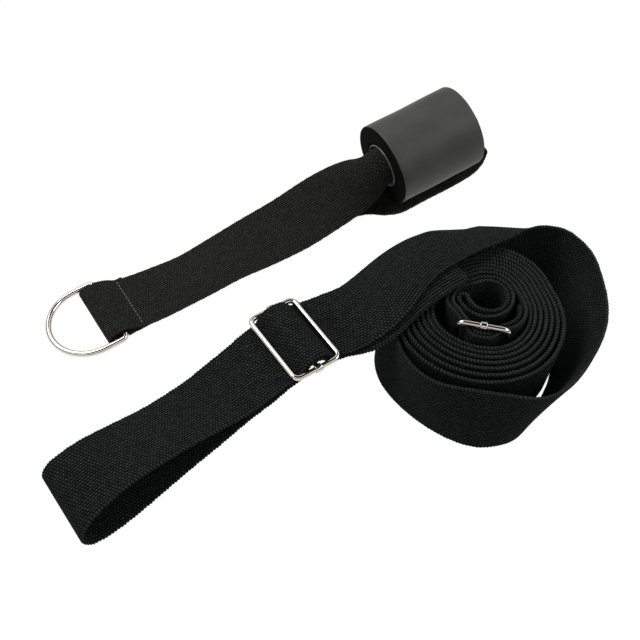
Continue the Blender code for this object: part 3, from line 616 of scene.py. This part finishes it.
def point_values(mesh, name, values):
    """Keeps a number at each of a mesh's points, for its material to read."""
    layer = mesh.attributes.new(name, "FLOAT", "POINT")
    layer.data.foreach_set("value", np.array(values, np.float32))


def band_object(name, points, rim, first, last, finish, coarse=None, coarse_from=0):
    """One closed piece of a band, from ring first to ring last.

    Rings from coarse_from on use only the coarse columns, where neighbours hide the faces.
    """
    around = points.shape[1]
    every = list(range(around))
    verts, index, rims = [], {}, []
    rings = []
    for i in range(first, last + 1):
        used = coarse if coarse and i >= coarse_from else every
        rings.append(used)
        for j in used:
            index[i, j] = len(verts)
            verts.append(points[i, j])
            rims.append(rim[j])
    faces, coords = [], []

    def add(corners):
        faces.append([index[i, j % around] for i, j in corners])
        coords.extend((i / 2, j / 2) for i, j in corners)

    for n in range(last - first):
        i = first + n
        here, after = rings[n], rings[n + 1]
        base = here if len(here) <= len(after) else after
        for k, a in enumerate(base):
            b = base[k + 1] if k + 1 < len(base) else around
            low = [a, b] if len(here) <= len(after) else list(range(a, b + 1))
            high = [a, b] if len(after) <= len(here) else list(range(a, b + 1))
            add([(i, low[0])] + [(i + 1, j) for j in high] + [(i, j) for j in reversed(low[1:])])
    add([(first, j) for j in rings[0]])
    add([(last, j) for j in reversed(rings[-1])])
    mesh = bpy.data.meshes.new(name)
    mesh.from_pydata([tuple(v) for v in verts], [], faces)
    mesh.shade_smooth()
    for face in mesh.polygons[-2:]:
        face.use_smooth = False
    layer = mesh.uv_layers.new(name="weave")
    layer.data.foreach_set("uv", np.array(coords, np.float32).ravel())
    point_values(mesh, "rim", rims)
    mesh.materials.append(finish)
    return add_object(name, mesh)


def arc(x, y, radius, start, stop, steps, first=0):
    """Points of an arc about a spot, between two angles in degrees, from step first on."""
    angles = [radians(start + (stop - start) * k / steps) for k in range(first, steps + 1)]
    return [(x + radius * cos(a), y + radius * sin(a)) for a in angles]


def rounded_rectangle(across, along, radius):
    """Points of a rectangle with round corners, along X and across Y."""
    out = []
    x_in, y_in = along / 2 - radius, across / 2 - radius
    for x, y, start in ((x_in, y_in, 0), (-x_in, y_in, 90), (-x_in, -y_in, 180), (x_in, -y_in, 270)):
        out += arc(x, y, radius, start, start + 90, 8)
    return out


def flat_path(points):
    """A path in space from points in the XY plane."""
    return [(x, y, 0) for x, y in points]


def tube(name, paths, radius, finish, place, closed=True, sides=24):
    """Round wires along paths of points in millimetres, as one mesh."""
    data = bpy.data.curves.new(name, "CURVE")
    data.dimensions = "3D"
    data.bevel_depth = radius * MM
    data.bevel_resolution = sides // 4 - 1
    data.use_fill_caps = True
    for points in paths:
        spline = data.splines.new("POLY")
        spline.points.add(len(points) - 1)
        for point, spot in zip(spline.points, points):
            point.co = (*[value * MM for value in spot], 1)
        spline.use_cyclic_u = closed
    holder = add_object(name + "_path", data)
    bpy.context.view_layer.update()
    mesh = bpy.data.meshes.new_from_object(holder.evaluated_get(bpy.context.evaluated_depsgraph_get()))
    bpy.data.objects.remove(holder, do_unlink=True)
    mesh.name = name
    mesh.materials.clear()
    return add_smooth(name, mesh, finish, place)


def ring_faces(form, rings):
    """Faces from each ring of points to the next, closed both ways."""
    made = []
    for here, after in zip(rings, rings[1:] + rings[:1]):
        for j in range(len(here)):
            n = (j + 1) % len(here)
            made.append(form.faces.new((here[j], here[n], after[n], after[j])))
    bmesh.ops.recalc_face_normals(form, faces=made)


def lathe(name, profile, finish, place, steps, wobble=None):
    """A closed ring turned about X from (along, radius) points in millimetres.

    wobble, where given, changes a point's radius by its place and angle.
    """
    form = bmesh.new()
    rings = []
    for k in range(steps):
        a = tau * k / steps
        ring = []
        for along, radius in profile:
            r = wobble(along, radius, a) if wobble else radius
            ring.append(form.verts.new((along * MM, r * cos(a) * MM, r * sin(a) * MM)))
        rings.append(ring)
    ring_faces(form, rings)
    mesh = bpy.data.meshes.new(name)
    form.to_mesh(mesh)
    form.free()
    return add_smooth(name, mesh, finish, place)


class Nodes:
    """Short calls for the node tree of a material or a world."""

    def __init__(self, owner):
        owner.use_nodes = True
        self.owner = owner
        self.tree = owner.node_tree

    def new(self, kind, inputs=(), **settings):
        """A node with its settings and inputs; an input is a value or another node's output."""
        node = self.tree.nodes.new(kind)
        for key, value in settings.items():
            setattr(node, key, value)
        for key, value in dict(inputs).items():
            self.put(node.inputs[key], value)
        return node

    def put(self, socket, value):
        if isinstance(value, bpy.types.NodeSocket):
            self.tree.links.new(value, socket)
        else:
            socket.default_value = value

    def math(self, operation, a, b=0.0, c=None):
        inputs = {0: a, 1: b} if c is None else {0: a, 1: b, 2: c}
        return self.new("ShaderNodeMath", inputs, operation=operation).outputs[0]

    def own_place(self):
        """A point's place in its object's own axes."""
        return self.new("ShaderNodeTexCoord").outputs["Object"]

    def scaled(self, vector, factors):
        return self.new("ShaderNodeVectorMath", {0: vector, 1: factors}, operation="MULTIPLY").outputs[0]

    def noise(self, place, scale, detail, roughness=0.5):
        inputs = {"Vector": place, "Scale": scale, "Detail": detail, "Roughness": roughness}
        return self.new("ShaderNodeTexNoise", inputs).outputs["Fac"]

    def bump(self, strength, distance, height):
        inputs = {"Strength": strength, "Distance": distance, "Height": height}
        return self.new("ShaderNodeBump", inputs).outputs["Normal"]

    def attribute(self, name):
        """A mesh's own value at each point."""
        return self.new("ShaderNodeAttribute", attribute_name=name).outputs["Fac"]

    def arch(self, a):
        """1 in the middle of a cell and 0 at its edges, for a from -0.5 to 0.5."""
        return self.math("SUBTRACT", 1.0, self.math("MULTIPLY", self.math("MULTIPLY", a, a), 4.0))

    def ramp(self, factor, stops):
        node = self.new("ShaderNodeValToRGB", {"Fac": factor})
        ramp = node.color_ramp
        while len(ramp.elements) < len(stops):
            ramp.elements.new(0.5)
        for element, (place, colour) in zip(ramp.elements, stops):
            element.position = place
            element.color = (*colour, 1.0)
        return node.outputs["Color"]

    def mix(self, factor, a, b):
        node = self.new("ShaderNodeMix", data_type="RGBA")
        self.put(node.inputs["Factor"], factor)
        self.put(node.inputs[6], a if isinstance(a, bpy.types.NodeSocket) else (*a, 1.0))
        self.put(node.inputs[7], b if isinstance(b, bpy.types.NodeSocket) else (*b, 1.0))
        return node.outputs[2]

    def set(self, **values):
        """Sets the material's shader inputs, with _ in place of a space in their names."""
        shader = self.tree.nodes["Principled BSDF"]
        for key, value in values.items():
            self.put(shader.inputs[key.replace("_", " ")], value)


def new_material(name):
    return Nodes(bpy.data.materials.new(name))


def cloth(name, gap, mean, top, rim_tint, slant, depth, roughness):
    """Woven webbing: rows of staggered beads read from the weave map.

    gap, mean and top are its colours from the bottom of the weave to the top of a bead, so the gaps carry
    painted shade and the bead tops a painted highlight. rim_tint is the selvedge's, slant leans the beads,
    and depth is the bump's in millimetres.
    """
    n = new_material(name)
    uv = n.new("ShaderNodeUVMap", uv_map="weave").outputs["UV"]
    u, v = n.new("ShaderNodeSeparateXYZ", {0: uv}).outputs[:2]
    # The beads drift a little along their rows
    u = n.math("ADD", u, n.math("MULTIPLY", n.math("SUBTRACT", n.noise(uv, 0.35, 2.0), 0.5), 0.5))
    row = n.math("ROUND", v)
    t = n.math("SUBTRACT", v, row)
    s = n.math("ADD", n.math("ADD", u, n.math("MULTIPLY", row, 0.5)), n.math("MULTIPLY", t, slant))
    bead = n.math("ROUND", s)
    q = n.math("SUBTRACT", s, bead)
    hump, ridge = n.arch(q), n.arch(t)
    height = n.math("MULTIPLY", ridge, n.math("MULTIPLY_ADD", hump, 0.62, 0.38))
    selvedge = n.new("ShaderNodeMapRange", {0: n.attribute("rim"), 1: 0.62, 2: 0.8}).outputs[0]
    # On the selvedge the yarn laps over at a slant instead
    lap = n.math("ADD", u, n.math("MULTIPLY", v, 0.3))
    lap = n.math("SUBTRACT", lap, n.math("ROUND", lap))
    height = n.new("ShaderNodeMix", {0: selvedge, 2: height, 3: n.arch(lap)}).outputs[0]
    # Each bead has its own tone, and fibres run through them all
    cell = n.new("ShaderNodeCombineXYZ", {0: bead, 1: row}).outputs[0]
    chance = n.new("ShaderNodeTexWhiteNoise", {"Vector": cell}, noise_dimensions="2D").outputs["Value"]
    fibre = n.noise(n.scaled(uv, (3.0, 9.0, 1.0)), 1.0, 3.0, 0.6)
    # The height adds painted shade in the weave's gaps and a painted highlight on the bead tops
    shade = n.math("MULTIPLY_ADD", chance, 0.16, n.math("MULTIPLY", height, 0.8))
    shade = n.math("ADD", shade, n.math("MULTIPLY", n.math("SUBTRACT", fibre, 0.5), 0.6))
    colour = n.ramp(shade, [(0.05, gap), (0.5, mean), (1.0, top)])
    colour = n.mix(n.math("MULTIPLY", selvedge, 0.7), colour, n.mix(shade, gap, rim_tint))
    # A few pale specks of fluff
    fluff = n.new("ShaderNodeTexVoronoi", {"Vector": n.scaled(uv, (0.8, 0.8, 1.0)), "Scale": 0.35})
    speck = n.math("MULTIPLY", n.math("LESS_THAN", fluff.outputs["Distance"], 0.05), 0.35)
    colour = n.mix(speck, colour, (0.25, 0.25, 0.24))
    bump = n.bump(1.0, depth * MM, n.math("MULTIPLY_ADD", fibre, 0.35, height))
    n.set(Base_Color=colour, Normal=bump, Roughness=roughness, Specular_IOR_Level=0.06)
    return n.owner


def metal(name, colour, low, high):
    """Plated wire: bright, with a faint grain and duller patches."""
    n = new_material(name)
    place = n.own_place()
    patch = n.noise(place, 240.0, 3.0)
    rough = n.math("MULTIPLY_ADD", patch, high - low, low)
    tint = n.mix(n.math("MULTIPLY", patch, 0.5), colour, tuple(0.82 * c for c in colour))
    bump = n.bump(0.06, 0.00001, n.noise(place, 2600.0, 2.0))
    n.set(Base_Color=tint, Metallic=1.0, Roughness=rough, Normal=bump)
    return n.owner


def foam(name):
    """Closed cell foam: a soft moulded skin round the side and darker, cut ends."""
    n = new_material(name)
    place = n.own_place()
    cells = n.new("ShaderNodeTexVoronoi", {"Vector": place, "Scale": 1500.0}, feature="F1")
    broad, fine = n.noise(place, 60.0, 3.0), n.noise(place, 1200.0, 3.0)
    ends = n.attribute("cut")
    skin = n.ramp(broad, [(0.25, (0.034, 0.035, 0.029)), (0.75, (0.054, 0.056, 0.045))])
    skin = n.mix(n.math("MULTIPLY", n.math("SUBTRACT", fine, 0.35), 1.1), skin, (0.03, 0.03, 0.03))
    colour = n.mix(ends, skin, (0.003, 0.003, 0.003))
    height = n.math("MULTIPLY_ADD", cells.outputs["Distance"], n.math("MULTIPLY_ADD", ends, 1.2, 0.3), fine)
    n.set(Base_Color=colour, Roughness=n.math("MULTIPLY_ADD", ends, 0.3, 0.55))
    n.set(Normal=n.bump(0.5, 0.00012, height), Specular_IOR_Level=n.math("MULTIPLY_ADD", ends, -0.36, 0.4))
    return n.owner


def plastic(name):
    """The lining tube: dark plastic, with a painted highlight that makes its cut ends paler."""
    n = new_material(name)
    place = n.own_place()
    noise = n.noise(place, 500.0, 3.0)
    wall = n.ramp(noise, [(0.3, (0.045, 0.045, 0.045)), (0.7, (0.07, 0.07, 0.068))])
    # Painted highlight: the cut ends are painted paler, as where the rim catches the light
    edge = n.ramp(noise, [(0.3, (0.05, 0.05, 0.048)), (0.7, (0.16, 0.16, 0.15))])
    colour = n.mix(n.attribute("cut"), wall, edge)
    n.set(Base_Color=colour, Roughness=0.42, Normal=n.bump(0.3, 0.00008, noise))
    return n.owner


def thread(name):
    """Sewing thread, mottled dark and pale: dark thread whose pale spots are painted glints."""
    n = new_material(name)
    place = n.own_place()
    twist_and_painted_glint = n.noise(place, 3000.0, 2.0)
    # Painted glints: pale spots in the dark thread's colour, from the same noise as its bump
    colour = n.ramp(twist_and_painted_glint, [(0.3, (0.03, 0.03, 0.028)), (0.7, (0.22, 0.22, 0.2))])
    n.set(Base_Color=colour, Roughness=0.4, Normal=n.bump(0.6, 0.0001, twist_and_painted_glint))
    return n.owner


def shift_matrix(spot):
    """Moves a spot of the layout, in millimetres, to the part's own axes."""
    return Matrix.Translation(Vector([a + b for a, b in zip(spot, ORIGIN)]) * MM)


def buckle(prefix, spot, axes, frame_body, bar_body, finish):
    """A sliding buckle: its wire frame and the middle bar with an eye round each short side."""
    place = shift_matrix(spot) @ Matrix(axes).transposed().to_4x4()
    outline = rounded_rectangle(BUCKLE_ACROSS - 2 * CAD_WIRE, BUCKLE_ALONG - 2 * CAD_WIRE, BUCKLE_CORNER)
    wire = tube(prefix + "_wire_frame", [flat_path(outline)], BUCKLE_WIRE, finish, place)
    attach(wire, frame_body)
    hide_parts(prefix + "_frame")
    reach = BUCKLE_ACROSS / 2 - CAD_WIRE
    form = bmesh.new()
    bar_gap = 0.15
    length = 2 * (reach - EYE_BORE - bar_gap)
    turn = Matrix.Rotation(radians(90), 4, "X")
    bmesh.ops.create_cone(form, cap_ends=True, segments=28, radius1=BAR_RADIUS, radius2=BAR_RADIUS,
                          depth=length, matrix=turn)
    # The eyes: rounded outside and with a narrow lip at the bore
    half, rim, lip, around = EYE_LENGTH / 2, 0.35, 0.1, 32
    profile = arc(half - rim, EYE_OUTER - rim, rim, 0, 90, 3)
    profile += arc(-half + rim, EYE_OUTER - rim, rim, 90, 180, 3)
    profile += [(-half, EYE_BORE + lip), (-half + lip, EYE_BORE), (half - lip, EYE_BORE),
                (half, EYE_BORE + lip)]
    for end in (-reach, reach):
        rings = []
        for k in range(around):
            a = tau * k / around
            rings.append([form.verts.new((x, end + r * cos(a), r * sin(a))) for x, r in profile])
        ring_faces(form, rings)
    name = prefix + "_cross_bar"
    mesh = bpy.data.meshes.new(name)
    form.to_mesh(mesh)
    form.free()
    bar = add_smooth(name, mesh, finish, place @ Matrix.Scale(MM, 4))
    mesh.set_sharp_from_angle(angle=radians(50))
    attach(bar, bar_body)
    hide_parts(prefix + "_bar")


def long_strap(finish):
    """One length of webbing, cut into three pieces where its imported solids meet."""
    front = front_route()
    turn = outer_turn_route()
    coil = coil_route()
    join = [(a + b) / 2 for a, b in zip(front[-1], turn[0])]
    path = [list(row) for row in front[:-1]] + [join] + turn[1:-1] + list(reversed(coil))
    s = fine_stations(path, STRAP_BEAD / 2)
    front_tip, rear_tip = 5.0, 2.0
    points, rim, _ = webbing(s, STRAP_WIDTH, STRAP_THICK, STRAP_ROWS, STRAP_RELIEF, STRAP_SCALLOP,
                             front_tip, rear_tip)
    middle, gap, _ = middles(s)

    def nearest(station):
        spot = np.add(station[0:3], station[3:6]) / 2
        return int(np.argmin(np.linalg.norm(middle - spot, axis=1)))

    first_cut = nearest(turn[0])
    second_cut = nearest(coil[-1])
    around = points.shape[1]
    columns = 2 * STRAP_ROWS + 1
    # Deep in the coil the neighbours hide the faces, so only columns near the rims stay close together
    keep = set(range(0, columns, 13)) | {1, 2, columns - 3, columns - 2}
    coarse = sorted(keep | set(range(columns, columns + 4))
                    | {columns + 4 + j for j in keep} | set(range(around - 4, around)))
    shown_turns = 1.35
    fine_end = nearest(coil[-1 - int(POINTS_PER_TURN * shown_turns)])
    for node, held, first, last, used, place in (
            ("strap_front_loop", "folded", 0, first_cut, None, 0),
            ("strap_outer_turn", "laid", first_cut, second_cut, None, 0),
            ("strap_coil", "folded", second_cut, len(s) - 1, coarse, fine_end)):
        name = "long_" + node
        piece = band_object(name, points, rim, first, last, finish, used, place)
        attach(piece, "long_strap")
        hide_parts(node)


def door_anchor(finish):
    """The anchor's webbing, in one piece."""
    s = fine_stations(anchor_route(), ANCHOR_BEAD / 2)
    points, rim, length = webbing(s, ANCHOR_WIDTH, ANCHOR_THICK, ANCHOR_ROWS, ANCHOR_RELIEF, ANCHOR_SCALLOP,
                                  edge=0.8)
    piece = band_object("door_anchor_webbing", points, rim, 0, len(s) - 1, finish)
    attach(piece, "door_anchor")
    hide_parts("anchor_webbing")
    print("door_anchor_webbing: %.3f m long" % length)


def stitches(finish):
    """The seam that closes the ring's pocket: short stitches, sunk at both ends in the webbing's top."""
    rise, gap_share = 0.12, 0.2
    lift = ANCHOR_THICK / 2 + rise
    a = Vector(RING_SEAM_NEAR) + Vector((0, 0, lift))
    b = Vector(RING_SEAM_FAR) + Vector((0, 0, lift))
    count, steps = 14, 8
    arch, sink, thread_radius = 0.42, 0.3, 0.27
    paths = []
    for k in range(count):
        start, end = a.lerp(b, (k + gap_share) / count), a.lerp(b, (k + 1 - gap_share) / count)
        points = []
        for m in range(steps + 1):
            t = m / steps
            spot = start.lerp(end, t)
            points.append((spot.x, spot.y, spot.z + arch * sin(pi * t) - sink))
        paths.append(points)
    seam = tube("anchor_seam_stitches", paths, thread_radius, finish, shift_matrix((0, 0, 0)),
                closed=False, sides=8)
    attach(seam, "door_anchor")
    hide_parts("anchor_ring_stitching")


def ring(finish):
    """The D-ring, with its origin in the middle of its straight bar and its round end along +X."""
    reach, corner, bar_steps = RING_RADIUS, 3.0, 6
    bar_end = reach - corner
    points = [(0, bar_end * (2 * k / bar_steps - 1)) for k in range(bar_steps + 1)]
    points += arc(corner, bar_end, corner, 180, 90, 8, 1)
    points += arc(RING_STRAIGHT, 0, reach, 90, -90, 48)
    points += arc(corner, -bar_end, corner, 270, 180, 8)[:-1]
    place = (shift_matrix(RING_BAR) @ Matrix.Rotation(radians(RING_TURN), 4, "Z")
             @ Matrix.Rotation(radians(RING_DROOP), 4, "Y"))
    wire = tube("ring_wire", [flat_path(points)], RING_WIRE, finish, place)
    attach(wire, "ring")
    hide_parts("d_ring")


def roll(foam_finish, tube_finish):
    """The foam roll with soft edges, and the thin tube that lines its bore."""
    front, axis, side, rise = roll_frame()
    place = shift_matrix(front) @ Matrix((axis, side, rise)).transposed().to_4x4()
    liner_room, mouth_width, mouth_depth = 0.15, 0.4, 0.5
    cut_depth, liner_cut_depth = 0.35, 0.1
    inner, outer, edge = ROLL_LINER_RADIUS + liner_room, ROLL_RADIUS, 1.0
    end_count, side_count = 5, 24
    face = [inner + mouth_width]
    face += [inner + (outer - edge - inner) * k / end_count for k in range(1, end_count)]
    side_step = (ROLL_LENGTH - 2 * edge) / side_count
    profile = [(0.0, radius) for radius in face]
    profile += arc(edge, outer - edge, edge, 180, 90, 4)
    profile += [(edge + side_step * k, outer) for k in range(1, side_count)]
    profile += arc(ROLL_LENGTH - edge, outer - edge, edge, 90, 0, 4)
    profile += [(ROLL_LENGTH, radius) for radius in reversed(face)]
    profile += [(ROLL_LENGTH - mouth_depth, inner), (mouth_depth, inner)]

    def soft(along, radius, a):
        """The foam's outside is a little out of round; its bore isn't."""
        if radius < inner + 1:
            return radius
        return radius + 0.10 * sin(3 * a + 0.1 * along) + 0.06 * sin(5 * a - 0.23 * along)

    def mark_cut(made, low, high):
        """Marks the points at the ends of a turned piece."""
        places = [(v.co / MM - front - Vector(ORIGIN)).dot(axis) for v in made.data.vertices]
        point_values(made.data, "cut", [not low < place < high for place in places])

    skin = lathe("foam_roll_body", profile, foam_finish, place, steps=128, wobble=soft)
    mark_cut(skin, cut_depth, ROLL_LENGTH - cut_depth)
    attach(skin, "roll")
    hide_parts("foam_roll")
    low, high = -ROLL_LINER_PROUD, ROLL_LENGTH + ROLL_LINER_PROUD
    wall_in, wall_out = ROLL_LINER_RADIUS - SHOWN_LINER_WALL, ROLL_LINER_RADIUS
    bevel = 0.25
    profile = [(low, wall_in + bevel), (low, wall_out - bevel), (low + bevel, wall_out),
               (high - bevel, wall_out), (high, wall_out - bevel), (high, wall_in + bevel),
               (high - bevel, wall_in), (low + bevel, wall_in)]
    liner = lathe("roll_liner_pipe", profile, tube_finish, place, steps=96)
    mark_cut(liner, low + liner_cut_depth, high - liner_cut_depth)
    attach(liner, "roll")
    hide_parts("roll_liner_tube")


def floor_paint():
    """White wherever the floor is seen itself, and dark enough to keep the object's shadow."""
    n = new_material("floor_white")
    n.tree.nodes.clear()
    matte = n.new("ShaderNodeBsdfDiffuse", {"Color": (FLOOR_GREY, FLOOR_GREY, FLOOR_GREY, 1.0)})
    glow = n.new("ShaderNodeEmission", {"Color": (1.0, 1.0, 1.0, 1.0), "Strength": STUDIO_LEVEL})
    # Rays that show the floor itself: from the camera, off metal or through glass
    path = n.new("ShaderNodeLightPath").outputs
    seen = n.math("MAXIMUM", n.math("MAXIMUM", path["Is Camera Ray"], path["Is Glossy Ray"]),
                  path["Is Transmission Ray"])
    share = n.math("MULTIPLY", seen, FLOOR_SHARE)
    mixed = n.new("ShaderNodeMixShader", {0: share, 1: matte.outputs[0], 2: glow.outputs[0]})
    n.new("ShaderNodeOutputMaterial", {"Surface": mixed.outputs[0]})
    return n.owner


def banded_world():
    """The studio round the floor, in level bands that give the metal its light and dark lines."""
    n = Nodes(bpy.data.worlds.new("studio"))
    n.tree.nodes.clear()
    way = n.new("ShaderNodeTexCoord").outputs["Generated"]
    height = n.new("ShaderNodeSeparateXYZ", {0: way}).outputs[2]
    bands = n.ramp(height, [(place, (level, level, level)) for place, level in STUDIO_BANDS])
    light = n.new("ShaderNodeBackground", {"Color": bands, "Strength": STUDIO_LEVEL})
    n.new("ShaderNodeOutputWorld", {"Surface": light.outputs[0]})
    return n.owner


def aimed(name, data, spot, target):
    """A lamp or a camera at a spot, turned to a target."""
    made = add_object(name, data)
    made.location = spot
    made.rotation_mode = "QUATERNION"
    made.rotation_quaternion = (Vector(target) - Vector(spot)).to_track_quat("-Z", "Y")
    return made


def studio():
    """Floor, world, soft lamps and the camera."""
    scene = bpy.context.scene
    scene.view_settings.view_transform = "Standard"
    mesh = bpy.data.meshes.new("floor")
    corners = [(x * FLOOR_SIZE, y * FLOOR_SIZE, 0) for x, y in ((-1, -1), (1, -1), (1, 1), (-1, 1))]
    mesh.from_pydata(corners, [], [(0, 1, 2, 3)])
    mesh.materials.append(floor_paint())
    add_object("floor", mesh)
    scene.world = banded_world()

    for name, spot, size, power in LAMPS:
        data = bpy.data.lights.new(name, "AREA")
        data.energy = power
        data.shape = "SQUARE"
        data.size = size
        aimed(name, data, spot, (0, 0, 0))

    data = bpy.data.cameras.new("camera")
    data.sensor_width = 36.0
    data.lens = LENS
    data.clip_start = 0.01
    scene.camera = aimed("camera", data, CAMERA_SPOT, CAMERA_AIM)


studio()
strap_cloth = cloth("strap_cotton", gap=(0.0006, 0.0008, 0.0008), mean=(0.0045, 0.0060, 0.0058),
                    top=(0.042, 0.052, 0.049), rim_tint=(0.028, 0.033, 0.030), slant=0.3, depth=0.5,
                    roughness=0.85)
anchor_cloth = cloth("anchor_nylon", gap=(0.0015, 0.0015, 0.0012), mean=(0.009, 0.0095, 0.0075),
                     top=(0.045, 0.048, 0.039), rim_tint=(0.034, 0.036, 0.030), slant=0.0, depth=0.35,
                     roughness=0.7)
nickel = metal("nickel_plate", (0.72, 0.67, 0.59), 0.05, 0.1)

long_strap(strap_cloth)
door_anchor(anchor_cloth)
stitches(thread("seam_thread"))
ring(nickel)
turn = radians(FRONT_BUCKLE_TURN)
buckle("front_slider", FRONT_BUCKLE, ((cos(turn), sin(turn), 0), (-sin(turn), cos(turn), 0), (0, 0, 1)),
       "long_strap", "front_bar", nickel)
rear_middle, rear_along, rear_out = rear_buckle_frame()
buckle("rear_slider", rear_middle, (rear_along, rear_out.cross(rear_along), rear_out),
       "long_strap", "rear_bar", nickel)
roll(foam("foam_charcoal"), plastic("liner_plastic"))
